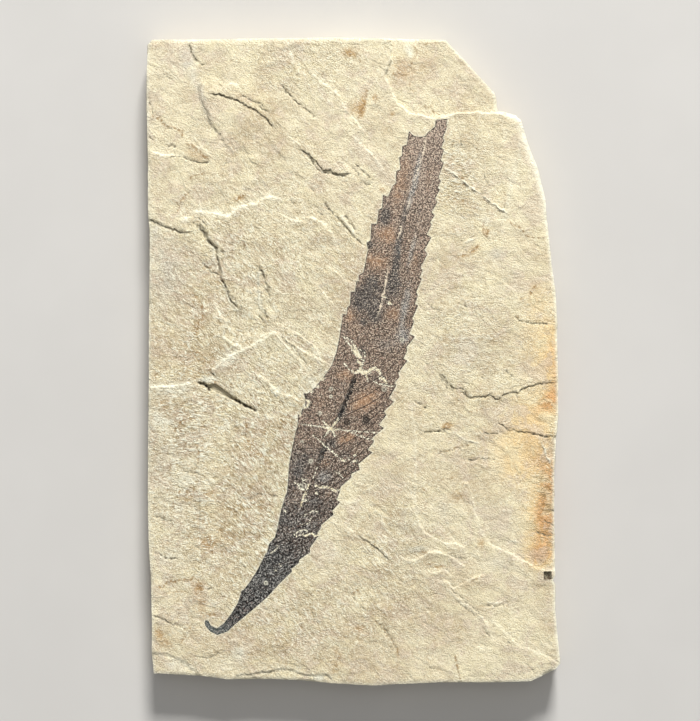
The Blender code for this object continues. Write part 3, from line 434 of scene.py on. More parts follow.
COOL = """ -50,87,1.8,9,1.1,18 -62,30,8,14,1 -66.5,44,3,4.5,1 -55.5,101,2.4,4.5,1.2 -62,98,8,8,0.5
  -60,-35,12,26,0.7 -46,104,20,5,0.4 40,94,9,9,0.5 24,4,8,20,0.2 -20,-60,10,12,0.3 48,36,4,3,0.9
  48,-67,5,2.4,1 18,-54,4.5,6,0.7 30,-50,5,7,0.7 48,-55,6,6,0.5 -55,-45,5,3,0.9 -57,-102,4,3,0.8,-35"""

# Places painted nearly white: stone that is pale of itself, and painted highlight on facets and bevels
# that face the lamp, such as the facet over the slot and the bevel of the right shoulder.
BLEACHED_AND_HIGHLIGHT = """ 39,4,11,9,0.35 -53.5,95,1.5,5.5,0.45 -65.5,-19,2.6,5,0.6 -56.5,-39.5,4.5,2.6,0.6,10
  -61.5,-65,5,3.6,0.5 -60.5,-101,2.4,2.2,0.6 18.5,103.7,1.3,2.6,0.9,20 -38,-97,2.6,2.6,0.6
  -42,-101,8,3.4,0.35 -60.5,-9.5,8.5,3,0.6,4 -61.5,-20,2.4,1,0.7 -42.5,-21.5,1.8,0.7,0.7,40
  -30,-29.5,2.4,1,0.7 -48.3,-6,2.8,0.9,1.2,5 -42,1,5,2.6,0.6,40 -13.8,-6.6,1.2,2.6,0.8,20
  21.5,-62.5,4,1,0.7,5 -11.5,-105.6,1.8,1,1.1 44,47,1.8,2.4,0.5 53,60,1.5,24,0.4,-12 -7,-64,4,4,0.4"""

LEAF_MIDRIB = """ -49.2,-86.5 -47.5,-89.2 -45.5,-90.2 -42.5,-88.5 -38.5,-84.8 -34.5,-80.5 -30.5,-74.8
  -27.2,-69.5 -24.2,-63.8 -21.5,-58.2 -19.2,-52.8 -17.7,-48.5 -16.8,-45.2 -14,-39.8 -11.2,-32.8
  -8.5,-26.2 -4.8,-18.5 -1.8,-11.8 1,-4.2 3.2,1.2 5.5,7.8 7.7,14 10,22.5 11.8,32.9 13.5,37.2 16.7,46.7
  19.5,55.8 20,58.8 23.2,69.5 24.1,74.8 24.8,77.2"""

# Where the film has flaked off the leaf: (x, y, half width) along each break.
FILM_BREAKS = """
-3.5,8.3,0.14 -2.2,6.8,0.2 -0.8,5.2,0.24 -0.2,3.8,0.3 0.8,2.8,0.55 1.8,1.8,0.7 2.5,1.2,0.45
-2.5,8.3,0.12 -1.2,7.2,0.16 0.2,5.7,0.18 0.8,4.2,0.3 1.5,2.8,0.4
0.5,4.8,0.1 2.5,3.8,0.14 3.8,2.5,0.14 3.5,0.5,0.12 2.8,-1.5,0.12
1.3,0.2,0.3 2.2,-0.3,0.45 2.5,-1.5,0.35 2.2,-2.8,0.35
0.8,-3.7,0.45 2.2,-3.2,0.6 3.5,-3.7,0.75 5.2,-3.5,0.6 5.8,-2.5,0.45 7.5,-2.3,0.55 8.5,-3.3,0.4 9,-4.3,0.3
8.5,-5.3,0.3 9.5,-5.7,0.45 10.5,-6.3,0.5 11,-7.2,0.25
4.2,-4.2,0.3 4.5,-5.5,0.24 4.7,-6.5,0.1
6.8,-6.8,0.1 8.8,-7.5,0.14 11.2,-8,0.15 13.5,-8.2,0.12
-3.2,-0.5,0.14 -1.8,-2.2,0.2 -0.5,-3.2,0.22 0.5,-3.8,0.3
-18.2,-20.7,0.1 -13.8,-21.3,0.13 -10.5,-21.7,0.18 -8.5,-22.2,0.5 -6.8,-22.7,0.45 -5.2,-22.6,0.16
  -2.8,-22.8,0.15 0.5,-23.3,0.15 8.2,-23.6,0.12
-4.5,-22.8,0.1 -1.2,-23.3,0.13 1.5,-24.5,0.15 4.2,-25.5,0.12 6.5,-25.8,0.08
-5.2,-19.2,0.25 -6.2,-20.8,0.3 -7.5,-22.2,0.35 -8.8,-23.5,0.2 -9.5,-25.2,0.1
-7.5,-22.2,0.3 -6.5,-23.8,0.2 -6.2,-25.2,0.08
-7.5,-22.2,0.3 -9.2,-20.8,0.15 -10.5,-19.8,0.08
-13.5,-24.5,0.12 -11.5,-26.2,0.18 -9.5,-28,0.2 -7.5,-29.7,0.24 -5.5,-31.2,0.2 -4.2,-32.3,0.14
-3.8,-32.8,0.35 -2.8,-33.2,0.3
0.2,-31.2,0.28 0.5,-31.3,0.25
0.2,-33.2,0.4 0.8,-33,0.35
-1.5,-32.5,0.2 -0.8,-33.2,0.2
-19.8,-40.2,0.15 -18.5,-41,0.2 -17.8,-42.5,0.25 -16.5,-42.7,0.25 -15.8,-41.2,0.22 -16.8,-40.3,0.15
-15.8,-43.5,0.3 -16.8,-45.5,0.35 -17.5,-48.2,0.3
-14.8,-40.8,0.25 -15.5,-42.8,0.3
-13.5,-38.8,0.1 -12.5,-36.2,0.12 -11.8,-34.8,0.1
-12.8,-41.2,0.3 -11.2,-42,0.3 -9.2,-41.8,0.3 -7.5,-42.3,0.35 -6.2,-43.3,0.3 -4.5,-42.8,0.2 -3.5,-42.2,0.12
-6.2,-36.5,0.1 -4.5,-37.5,0.14 -3.5,-38.8,0.12
-12.5,-43.8,0.4 -12.2,-44,0.35
-16.2,-46.3,0.25 -14.8,-46.2,0.2
-17.5,-38.8,0.15 -16.8,-39.5,0.2 -15.8,-39.2,0.1
-16.2,-51.5,0.1 -14.5,-50.3,0.13 -12.8,-49.5,0.15 -12.2,-50.2,0.1
-16.8,-54.5,0.1 -14.8,-53.7,0.15 -14.2,-52.5,0.1
-19.8,-57.5,0.15 -18.5,-56.7,0.25 -16.5,-56,0.2 -15.2,-56.8,0.15
-19.2,-58.2,0.15 -17.2,-57.8,0.25 -15.8,-58,0.3 -14.2,-57.3,0.3 -12.8,-58.2,0.4 -11.5,-57.8,0.2
-22.8,-49.8,0.25 -22.5,-50,0.2
-24.8,-61.5,0.15 -25.8,-62.5,0.18 -27.2,-63.8,0.1
-26.2,-68.8,0.15 -25.8,-69.5,0.22
-24.5,-67.8,0.2 -24.2,-68.2,0.2
-16.8,-12.5,0.2 -15.5,-12.8,0.35 -14.8,-13.8,0.4 -15.5,-15,0.35 -16.5,-15.8,0.25
-10.5,-6.2,0.35 -9.8,-5.5,0.3
-12.5,-8.3,0.3 -11.8,-8.2,0.25
-14.2,-10.5,0.3 -13.8,-9.8,0.25
-18.2,-17.2,0.3 -17.5,-18.2,0.2
11.8,19.7,0.45 12.5,19.3,0.4
9.8,21.8,0.2 10.5,21.3,0.35
25.8,77.8,0.3 26.5,79.2,0.35 25.5,76.8,0.15
"""

# Small round marks on the leaf: (x, y, radius, pale). A pale one is a light ring round a dot.
LEAF_RINGS = """ 16.2,7.2,0.68,0.7 4.2,-19.5,1.2,0 -2.2,-20.2,1.07,0 -7.5,-9.2,0.62,0.7
  -7.5,-11.7,0.57,0.7 -11.2,-17.2,0.62,0.7 -14.2,-33.2,0.74,0.7 -17.2,-26.8,0.45,0.7 10.2,-9.2,0.8,0.45
  -17.5,-41.5,0.79,0.7 -29.2,-73.8,0.68,0.7 -5.2,-6.2,0.28,0.7"""

LEAF_RED = """ 15.5,58.8,3,14,0.75,-14 11.5,42.2,3,4.3,0.9,75 7.8,33.2,3,5,1,75 -1.5,15.2,2,2.7,0.9
  12.8,16.2,3,3,1 25.5,61.2,2,8,0.45,-10 -2.8,-4.2,3.7,2.3,0.9 3.8,-13.2,5.7,3.3,1.2,30
  -2.8,-26.2,3,2,0.9,30 -9.2,-33.8,2.7,1.7,0.6 -9.5,-45.5,3,2.7,0.45 20.2,33.2,2,5.3,0.5
  -10.5,-12.8,2.7,4,0.5 0.5,10.5,3.3,3.3,0.4 -0.5,-23.5,4.7,2.7,0.5"""

LEAF_PALE = """ 19.5,37.2,1,6.7,0.8,-14 17.2,18.8,1.5,8,1,-12 16.8,8.5,2.3,3,0.9 21.2,63.2,1.1,7.3,1.1,-12
  18.8,53.8,1,4.7,0.8,-14 14.8,37.2,1.3,2.7,0.8 -9.8,-38.5,3,2,0.9 -14.8,-55.5,2.7,2,0.4
  -17.8,-50.8,2.7,2,0.4 10.5,5.5,4.7,4,0.45 -41.8,-88.8,3,1.7,0.5,35 -47.8,-88.2,1.7,2,0.8
  -30.5,-73.8,2.7,3.3,0.3,45"""

LEAF_DARK = """ 10.5,20.5,8,11,0.15 10.5,4.5,5,6,0.15 -28,-72,7,8,0.5,45 9,21,7,8,0.5 -13,-48,5,8,0.6
  -24,-67,8,8,0.6,45 -15,-31,4,5,0.5 12,50,3,7,0.4,-14 -36,-80,7,4,0.5,40 17.2,49.8,1.1,4.7,0.9,-14
  21.2,50.5,2,1.7,0.5 10.5,48.2,1.7,2.7,1.1 15.2,41.2,1.3,4,0.9,-14 14.2,32.5,1.5,5.7,1.1,-10
  13.8,25.8,2.7,3,0.7 2.5,20.5,4,4,1 7.2,15.5,1.7,2.3,1 3.5,13.2,1.7,1.3,0.8 5.8,26.2,2,2.3,0.9
  -3.5,-16.8,2,2.7,0.8 -7.5,-27.2,2,2.3,0.9 -18.8,-35.5,3,5.3,0.7 -23.2,-51.2,2,4.7,0.8,-15
  -2.2,-31.2,2.7,1.7,0.6 -15.5,-13.5,1.7,2.7,0.8 4.2,-19.5,2,1.7,0.5 5.2,38.8,1.7,1.3,1
  -2.8,10.5,1.3,3.3,0.4 23.8,70.5,1.3,2.7,0.3 -27.8,-66.2,2.7,4,0.5,-40 2.8,3.2,2.3,3.3,0.6
  7.5,-5.5,2.7,1.7,0.6"""

# Where the midrib shows dark, and where pale.
RIB_DARK = """ -2.2,-11.8,3.6,7.5,2 -10.2,-30.8,2.4,3,1.8 -5.2,-19.5,1.7,1.3,0.9"""

RIB_PALE = """ 23.8,71.2,2,4,1.1 21.2,63.2,1.7,5.3,0.8 18.5,52.8,1.3,3.3,0.6 15.5,43.2,1.3,2.7,1
  10.2,22.5,2.7,9,1.5"""

SLOT = """ -52.4,-6.9 -50.8,-6.6 -49.2,-7 -48,-7.6 -46.3,-7.2 -43.8,-8.8 -40.7,-11 -38.8,-12.4
  -35.5,-14.3 -32.2,-16.4 -35.8,-15 -40.3,-13 -43.2,-11.7 -45.7,-10.6 -47.5,-9.3 -49.2,-8.6 -51.2,-7.8"""
PIT_CENTRE = (64.7, -71.3)
PIT_REACH = 1.35


def eased(value: np.ndarray) -> np.ndarray:
    """A smooth rise from 0 to 1 as the value goes from 0 to 1."""
    value = np.clip(value, 0.0, 1.0)
    return value * value * (3.0 - 2.0 * value)


def srgb(red: float, green: float, blue: float) -> Colour:
    """A screen colour of 0 to 255 as linear RGB.

    Args:
        red: Screen value of red.
        green: Screen value of green.
        blue: Screen value of blue.

    Returns:
        Linear red, green and blue with alpha 1.
    """
    linear = [((value / 255.0 + 0.055) / 1.055) ** 2.4 for value in (red, green, blue)]
    return (linear[0], linear[1], linear[2], 1.0)


class Noise:
    """Smooth gradient noise over the plane, the same on every run."""

    TABLE = 256
    GAIN = 1.5                  # brings the values out to about -1 and 1

    def __init__(self, seed: int) -> None:
        """Draw the lattice's slopes.

        Args:
            seed: Number that fixes the pattern.
        """
        source = np.random.default_rng(seed)
        self.order = source.permutation(self.TABLE)
        turns = source.uniform(0.0, 2.0 * math.pi, self.TABLE)
        self.slopes = np.stack((np.cos(turns), np.sin(turns)), axis=1)

    def plain(self, points: np.ndarray, size: float) -> np.ndarray:
        """One layer of noise.

        Args:
            points: Places, n by 2.
            size: Width of the pattern's lumps.

        Returns:
            Values of about -1 to 1.
        """
        scaled = points / size
        cell = np.floor(scaled).astype(int)
        part = scaled - cell
        ease = part**3 * (part * (part * 6.0 - 15.0) + 10.0)
        total = np.zeros(len(points))
        for step_x in (0, 1):
            for step_y in (0, 1):
                row = self.order[(cell[:, 0] + step_x) % self.TABLE]
                slope = self.slopes[self.order[(row + cell[:, 1] + step_y) % self.TABLE]]
                value = (slope * (part - (step_x, step_y))).sum(axis=1)
                share_x = ease[:, 0] if step_x else 1.0 - ease[:, 0]
                share_y = ease[:, 1] if step_y else 1.0 - ease[:, 1]
                total += value * share_x * share_y
        return total * self.GAIN

    def layered(self, points: np.ndarray, size: float, layers: int = 4, keep: float = 0.5) -> np.ndarray:
        """Several layers, each of half the size and a share of the height of the last.

        Args:
            points: Places, n by 2.
            size: Width of the largest lumps.
            layers: Number of layers.
            keep: Height of each layer as a share of the one before.

        Returns:
            Values of about -1 to 1.
        """
        total = np.zeros(len(points))
        height = 1.0
        for index in range(layers):
            total += height * self.plain(points + 37.7 * index, size / 2**index)
            height *= keep
        return total * (1.0 - keep) / (1.0 - keep**layers)

    def streaked(self, points: np.ndarray, size: float, stretch: float, turn: float) -> np.ndarray:
        """Layered noise drawn out along one direction.

        Args:
            points: Places, n by 2.
            size: Width of a streak.
            stretch: Length of a streak as a multiple of its width.
            turn: Direction of the streaks in degrees from +X.

        Returns:
            Values of about -1 to 1.
        """
        along = np.array((math.cos(math.radians(turn)), math.sin(math.radians(turn))))
        across = np.array((-along[1], along[0]))
        local = np.stack((points @ along / stretch, points @ across), axis=1)
        return self.layered(local, size, layers=3, keep=0.6)


class Path:
    """An open path, rounded through its own points."""

    STEP = 1.2

    def __init__(self, corners: list[tuple[float, ...]], rounded: bool = True) -> None:
        """Lay the path.

        Args:
            corners: Points (x, y), each with any further values, which are carried along.
            rounded: Whether the path curves through its points or runs straight between them.
        """
        rows = np.array(corners, float)
        if rounded and len(rows) > 2:
            rows = self._curved(rows)
        self.points = rows[:, :2]
        self.extra = rows[:, 2:]
        runs = np.linalg.norm(np.diff(self.points, axis=0), axis=1)
        self.starts = np.concatenate(((0.0,), np.cumsum(runs)))

    def _curved(self, rows: np.ndarray) -> np.ndarray:
        """Draw a smooth curve through rows of points.

        Args:
            rows: The points, each with any further values.

        Returns:
            Rows at even steps along the curve.
        """
        ends = np.vstack((2 * rows[0] - rows[1], rows, 2 * rows[-1] - rows[-2]))
        curved = []
        for before, start, stop, after in zip(ends, ends[1:], ends[2:], ends[3:]):
            count = max(1, round(float(np.linalg.norm((stop - start)[:2])) / self.STEP))
            for share in np.arange(count) / count:
                curved.append(0.5 * (
                    2 * start + (stop - before) * share
                    + (2 * before - 5 * start + 4 * stop - after) * share**2
                    + (3 * start - before - 3 * stop + after) * share**3))
        return np.array([*curved, rows[-1]])

    @property
    def length(self) -> float:
        """Length of the path."""
        return float(self.starts[-1])

    def near(self, points: np.ndarray, reach: float) -> np.ndarray:
        """Which points lie in the path's box, widened by a reach.

        Args:
            points: Places, n by 2.
            reach: Margin round the path's box.

        Returns:
            Indices of those points.
        """
        low, high = self.points.min(axis=0) - reach, self.points.max(axis=0) + reach
        return np.nonzero(((points >= low) & (points <= high)).all(axis=1))[0]

    def measure(self, points: np.ndarray) -> tuple[np.ndarray, np.ndarray, np.ndarray]:
        """Where points lie beside the path.

        Args:
            points: Places, n by 2.

        Returns:
            The distance, positive on the left; the place along the path, below 0 or above its
            length beyond its ends; and the segment index with its share.
        """
        best = np.full(len(points), np.inf)
        distance = np.zeros(len(points))
        along = np.zeros(len(points))
        place = np.zeros(len(points))
        last = len(self.points) - 2
        for index, (start, stop) in enumerate(zip(self.points, self.points[1:])):
            run = stop - start
            length = max(float(np.hypot(*run)), 1e-9)
            share = (points - start) @ run / length**2
            inner = np.clip(share, 0.0, 1.0)
            away = points - start - inner[:, None] * run
            gap = np.hypot(away[:, 0], away[:, 1])
            turned = (run[0] * away[:, 1] - run[1] * away[:, 0]) / length
            key = gap - 1e-4 * np.abs(turned)
            nearer = key < best
            low = -np.inf if index == 0 else 0.0
            high = np.inf if index == last else 1.0
            open_share = np.clip(share, low, high)
            best[nearer] = key[nearer]
            distance[nearer] = (np.sign(turned) * gap)[nearer]
            along[nearer] = (self.starts[index] + open_share * length)[nearer]
            place[nearer] = (index + inner)[nearer]
        return distance, along, place

    def hold(self, along: np.ndarray, end: float) -> np.ndarray:
        """How fully the path acts: 1 along it, fading to 0 round its two ends.

        Args:
            along: Places along the path, as measure gives them.
            end: Half the length over which it fades.

        Returns:
            Values from 0 to 1.
        """
        inside = np.minimum(along, self.length - along)
        return eased((inside + end) / (2.0 * end))


def loop_distance(points: np.ndarray, loop: np.ndarray, reach: float = 4.0) -> np.ndarray:
    """Distance from points to a closed outline, negative inside it.

    Args:
        points: Places, n by 2.
        loop: The outline's points in order.
        reach: Largest distance that matters; all larger ones are given as this.

    Returns:
        One distance for each point.
    """
    order = np.argsort(points[:, 1])
    ranked = points[order]
    levels = ranked[:, 1]
    best = np.full(len(points), reach)
    inside = np.zeros(len(points), bool)
    for start, stop in zip(loop, np.roll(loop, -1, axis=0)):
        run = stop - start
        low, high = sorted((start[1], stop[1]))
        near = slice(*np.searchsorted(levels, (low - reach, high + reach)))
        share = np.clip((ranked[near] - start) @ run / max(float(run @ run), 1e-12), 0.0, 1.0)
        away = ranked[near] - start - share[:, None] * run
        best[near] = np.minimum(best[near], np.hypot(away[:, 0], away[:, 1]))
        if high > low:
            level = slice(*np.searchsorted(levels, (low, high)))
            crossing = start[0] + (levels[level] - start[1]) * run[0] / run[1]
            inside[level] ^= ranked[level, 0] < crossing
    result = np.empty(len(points))
    result[order] = np.where(inside, -best, best)
    return result


def resampled(loop: np.ndarray, step: float) -> np.ndarray:
    """A closed outline with extra points, so that no two neighbours are far apart.

    Args:
        loop: The outline's corner points in order.
        step: Largest spacing wanted.

    Returns:
        The corners with points between them.
    """
    rows = []
    for start, stop in zip(loop, np.roll(loop, -1, axis=0)):
        count = max(1, math.ceil(float(np.linalg.norm(stop - start)) / step))
        rows.extend(start + (stop - start) * share for share in np.arange(count) / count)
    return np.array(rows)


def outward(loop: np.ndarray, soften: int) -> np.ndarray:
    """Outward directions of an anticlockwise outline at its points.

    Args:
        loop: The outline's points in order.
        soften: How many neighbours on each side share in a point's direction.

    Returns:
        One unit direction for each point.
    """
    run = np.roll(loop, -1, axis=0) - np.roll(loop, 1, axis=0)
    normal = np.stack((run[:, 1], -run[:, 0]), axis=1)
    normal /= np.linalg.norm(normal, axis=1)[:, None]
    total = sum(np.roll(normal, shift, axis=0) for shift in range(-soften, soften + 1))
    return total / np.linalg.norm(total, axis=1)[:, None]


def lattice(low: np.ndarray, high: np.ndarray, spacing: float) -> np.ndarray:
    """Points of a triangular lattice that fill a box.

    Args:
        low: Lowest corner.
        high: Highest corner.
        spacing: Distance between neighbours.

    Returns:
        The lattice points, n by 2.
    """
    row_step = spacing * math.sqrt(0.75)
    first = np.floor(low / (spacing, row_step))
    last = np.ceil(high / (spacing, row_step))
    columns, rows = np.meshgrid(np.arange(first[0], last[0]), np.arange(first[1], last[1]))
    x = (columns + 0.5 * (rows % 2)) * spacing
    return np.stack((x.ravel(), (rows * row_step).ravel()), axis=1)


def cad_outline(node: str, level: float) -> np.ndarray:
    """The outline of a CAD node's flat face at a height.

    Args:
        node: The node's name.
        level: Height of the flat face.

    Returns:
        The outline's points in mm, anticlockwise seen from above.
    """
    body = bmesh.new()
    body.from_mesh(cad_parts[node].data)
    bmesh.ops.remove_doubles(body, verts=body.verts, dist=1e-6)
    flat = [face for face in body.faces
            if all(abs(vert.co.z - level * MM) < 1e-5 for vert in face.verts)]
    known = set(flat)
    after = {}
    for face in flat:
        for corner in face.loops:
            if not all(other in known for other in corner.edge.link_faces):
                after[corner.vert] = corner.link_loop_next.vert
    start = min(after, key=lambda vert: (round(vert.co.x, 6), round(vert.co.y, 6)))
    chain = [start]
    while after[chain[-1]] is not start:
        chain.append(after[chain[-1]])
    loop = np.array([vert.co.xy[:] for vert in chain]) / MM
    body.free()
    area = np.sum(loop[:, 0] * np.roll(loop[:, 1], -1) - np.roll(loop[:, 0], -1) * loop[:, 1])
    return loop if area > 0.0 else loop[::-1]


@dataclass
class Sheet:
    """A flat net of triangles inside an outline."""

    points: np.ndarray
    triangles: np.ndarray
    rim: np.ndarray

    @classmethod
    def fill(cls, loops: list[np.ndarray], inner: np.ndarray) -> "Sheet":
        """Fill an outline with triangles through given points.

        Args:
            loops: The outline, then any loops whose edges the net keeps.
            inner: Further points of the net.

        Returns:
            The net, with the point numbers of the outline in order.
        """
        rows = np.vstack([*loops, inner])
        edges = []
        offset = 0
        for loop in loops:
            count = len(loop)
            edges.extend((offset + index, offset + (index + 1) % count) for index in range(count))
            offset += count
        points, _, faces, sources, _, _ = geometry.delaunay_2d_cdt(
            [Vector(row) for row in rows], edges, [], 1, 1e-5)
        where = {source: index for index, group in enumerate(sources) for source in group}
        flat = np.array([point[:] for point in points])
        net = np.array(faces)
        first, second, third = (flat[net[:, corner]] for corner in range(3))
        turn = ((second - first)[:, 0] * (third - first)[:, 1]
                - (second - first)[:, 1] * (third - first)[:, 0])
        net[turn < 0.0] = net[turn < 0.0][:, ::-1]
        return cls(flat, net, np.array([where[index] for index in range(len(loops[0]))]))


class Relief:
    """Height of the split face at any place, in mm above the bedding plane, with its colour marks, painted
    highlight and painted shade among them.
    """

    CALM = 2.6                  # width of the even margin round the leaf
    END = 2.2                   # half the length over which a sloping mark ends
    SHORT_END = 0.7             # the same for a mark without a slope
    FLAKE_REACH = 60.0          # how far a flake lowers the face
    FADE_REACH = 3.5            # where a slope has ended, in fades
    MARK_REACH = 3.0            # where a line has ended, in widths
    SLOT_DEPTH = 0.9
    PIT_DEPTH = 0.9

    def __init__(self, slab_outline: np.ndarray, leaf_outline: np.ndarray) -> None:
        """Prepare the breaks.

        Args:
            slab_outline: Outline of the slab.
            leaf_outline: Outline of the leaf.
        """
        self.slab_outline = slab_outline
        self.leaf_outline = leaf_outline
        self.noise = Noise(11)
        self.ragged = Noise(23)
        self.paths = [(item, Path(item.path)) for item in map(Break.read, rows_of(BREAKS))]
        self.slot = np.array(numbers(SLOT))

    def shaken(self, points: np.ndarray) -> np.ndarray:
        """Shift points a little, which gives ledges and cracks their ragged course.

        Args:
            points: Places, n by 2.

        Returns:
            The shifted places.
        """
        shift = np.zeros_like(points)
        for size, reach in ((4.0, 0.4), (1.2, 0.3), (0.5, 0.12)):
            shift[:, 0] += reach * self.ragged.plain(points, size)
            shift[:, 1] += reach * self.ragged.plain(points[:, ::-1] + 91.0, size)
        return points + shift

    @staticmethod
    def patches(points: np.ndarray, table: str) -> np.ndarray:
        """Sum of a table of soft oval areas.

        Args:
            points: Places, n by 2.
            table: The areas as text.

        Returns:
            The sum of their amounts at each place.
        """
        total = np.zeros(len(points))
        for patch in (Patch(*row) for row in numbers(table)):
            turn = math.radians(patch.turn)
            away = points - (patch.x, patch.y)
            along = (away[:, 0] * math.cos(turn) + away[:, 1] * math.sin(turn)) / patch.reach_x
            across = (away[:, 1] * math.cos(turn) - away[:, 0] * math.sin(turn)) / patch.reach_y
            total += patch.amount * np.exp(-(along**2 + across**2))
        return total

    def breaks(self, points: np.ndarray) -> dict[str, np.ndarray]:
        """Height of all breaks, and how they colour the stone.

        Args:
            points: Places, n by 2.

        Returns:
            Values under height, fresh (pale broken edges with painted highlight), shade (painted shade in
            cracks, grooves and steps) and stain (brown lines).
        """
        total = {name: np.zeros(len(points)) for name in ("height", "fresh_and_highlight", "shade", "stain")}
        shaken = self.shaken(points)
        texture = {
            "torn": np.clip(0.8 + 1.1 * self.ragged.plain(points, 0.9), 0.0, 1.3),
            "patchy": np.clip(0.75 + 0.9 * self.ragged.plain(points, 2.6), 0.0, 1.2),
            "hatched": np.clip(0.62 + 1.7 * self.noise.streaked(points, 0.5, 4.0, -50.0), 0.0, 1.25),
            "turns": np.clip(4.0 * self.ragged.plain(points, 5.0), -1.0, 1.0),
        }
        for item, path in self.paths:
            base = points if item.form is Form.SEAM else shaken
            far = self.FLAKE_REACH if item.form is Form.FLAKE else self.FADE_REACH * item.fade
            near = path.near(base, far + self.MARK_REACH * item.width)
            distance, along, _ = path.measure(base[near])
            hold = path.hold(along, self.END if item.fade else self.SHORT_END)
            mark = self._mark(item, distance, hold, **{key: value[near] for key, value in texture.items()})
            total["height"][near] += mark.pop("height", 0.0)
            for name, value in mark.items():
                total[name][near] = np.maximum(total[name][near], value)
        return total

    @staticmethod
    def _mark(item: Break, distance: np.ndarray, hold: np.ndarray, torn: np.ndarray,
              patchy: np.ndarray, hatched: np.ndarray, turns: np.ndarray) -> dict[str, np.ndarray]:
        """Height of one mark, and how it colours the stone, painted highlight and painted shade included.

        Args:
            item: The mark.
            distance: Distance of each place from its path, positive on the left.
            hold: How fully it acts at each place.
            torn: Noise that breaks a line up.
            patchy: Broader noise of the same kind.
            hatched: Leaning streaks.
            turns: Noise that says where a seam is dark and where it is pale.

        Returns:
            Values as in breaks, without those that are zero.
        """
        # Below, shade is painted shade, and fresh is a pale broken edge with painted highlight.
        size, width = item.size, item.width
        line = np.exp(-(distance / (0.6 * width + 0.08)) ** 2) * hold
        if item.form is Form.LEDGE:
            side = distance * math.copysign(1.0, size)
            lift = eased(side / width + 0.5) * np.exp(-np.maximum(side, 0.0) / item.fade)
            rise = abs(size) * lift * hold
            strength = min(1.0, abs(size) / 0.5)
            # A step that rises to the left gets painted shade. One that rises to the right gets a painted
            # highlight: a thin pale line with a wider glow.
            if size > 0.0:
                return {"height": rise, "shade": 0.25 * line * strength * torn}
            wide = np.exp(-(distance / (1.1 * width + 0.1)) ** 2) * hold
            return {"height": rise, "fresh_and_highlight": (0.45 * line + 0.5 * wide * torn) * strength * patchy}
        if item.form is Form.FLAKE:
            return {"height": -size * eased(distance / width + 0.5), "fresh_and_highlight": 0.4 * line * patchy}
        if item.form is Form.CRACK:
            return {"height": -size * line * np.minimum(torn, 1.0),
                    "shade": (0.42 + 0.9 * size) * line * torn}
        if item.form is Form.GROOVE:
            return {"height": -0.45 * size * line * (0.4 + 0.6 * hatched),
                    "shade": (0.3 + 0.6 * size) * line * hatched}
        if item.form is Form.RIDGE:
            return {"height": size * line * patchy, "fresh_and_highlight": (0.4 + 2.0 * size) * line * patchy}
        if item.form is Form.SEAM:
            dark, pale = np.maximum(turns, 0.0), np.maximum(-turns, 0.0)
            return {"height": -size * line * dark, "shade": (0.3 + size) * line * dark,
                    "fresh_and_highlight": 0.5 * line * pale}
        return {"stain": 1.1 * size * line * torn}

    def grain(self, points: np.ndarray) -> np.ndarray:
        """Height of the uneven, scaly texture that splitting leaves between the breaks.

        Args:
            points: Places, n by 2.

        Returns:
            The height at each place.
        """
        leaning = self.noise.streaked(points, 3.0, 3.0, -42.0)
        lumps = self.noise.layered(points, 7.0, layers=3, keep=0.5)
        contour = self.noise.layered(points + 200.0, 19.0, layers=3, keep=0.5) * 6.5
        whole = np.floor(contour)
        terrace = (whole + eased((contour - whole) * 5.0) - contour) * 0.13
        return 0.08 * leaning + 0.17 * lumps + terrace

    def rim_drop(self, points: np.ndarray, inside: np.ndarray) -> np.ndarray:
        """How far the worn edge falls.

        Args:
            points: Places, n by 2.
            inside: Distance of each place from the slab's edge.

        Returns:
            The fall at each place.
        """
        chips = eased((self.noise.layered(points + 400.0, 7.0, layers=3) - 0.12) / 0.4)
        shoulder = eased((points[:, 0] - 42.0) / 14.0) * eased((points[:, 1] - 36.0) / 30.0)
        width = 0.9 + 0.25 * self.noise.plain(points, 3.0) + 1.1 * chips + 1.3 * shoulder
        fall = 0.45 + 0.5 * chips + 0.55 * shoulder
        return fall * np.clip(1.0 - inside / width, 0.0, 1.0) ** 1.6

    def surface(self, points: np.ndarray) -> dict[str, np.ndarray]:
        """Height of the face, without the leaf's recess, and its colour marks, painted highlight and
        painted shade among them.

        Args:
            points: Places, n by 2.

        Returns:
            Values for each place, by name.
        """
        inside = -loop_distance(points, self.slab_outline)
        leaf_gap = loop_distance(points, self.leaf_outline)
        calm = eased(np.maximum(leaf_gap, 0.0) / self.CALM)
        marks = self.breaks(points)
        height = marks["height"] * calm + self.grain(points) * (0.3 + 0.7 * calm)
        height += self.patches(points, SWELLINGS) * calm
        height -= self.rim_drop(points, inside)
        # Painted highlight: a pale band round the leaf's edge, and one along the slab's edge that is wider
        # and stronger on the right.
        lip_highlight = 0.7 * np.exp(-((np.maximum(leaf_gap, 0.0) / 0.35) ** 2))
        right = eased((points[:, 0] - 40.0) / 20.0)
        reach = 0.8 + 1.0 * right * eased((points[:, 1] - 36.0) / 30.0)
        rim = (0.75 + 0.4 * right) * np.exp(-((inside / reach) ** 2))
        fresh_and_highlight = np.maximum(marks["fresh_and_highlight"] * calm, np.maximum(lip_highlight, rim))
        slot = loop_distance(0.6 * points + 0.4 * self.shaken(points), self.slot)
        height -= self.SLOT_DEPTH * eased(-slot / 0.3)
        pit = np.abs(points + 0.4 * (self.shaken(points) - points) - PIT_CENTRE).max(axis=1)
        height -= self.PIT_DEPTH * eased((PIT_REACH - pit) / 0.5)
        return {
            "height": height,
            "fresh_and_highlight": fresh_and_highlight,
            "shade": marks["shade"] * calm,
            "stain": marks["stain"],
            "leaf_gap": leaf_gap,
            "slot": eased(-slot / 0.3 + 0.2),
            "pit": eased((PIT_REACH + 0.15 - pit) / 0.3),
            "rim": inside,
        }


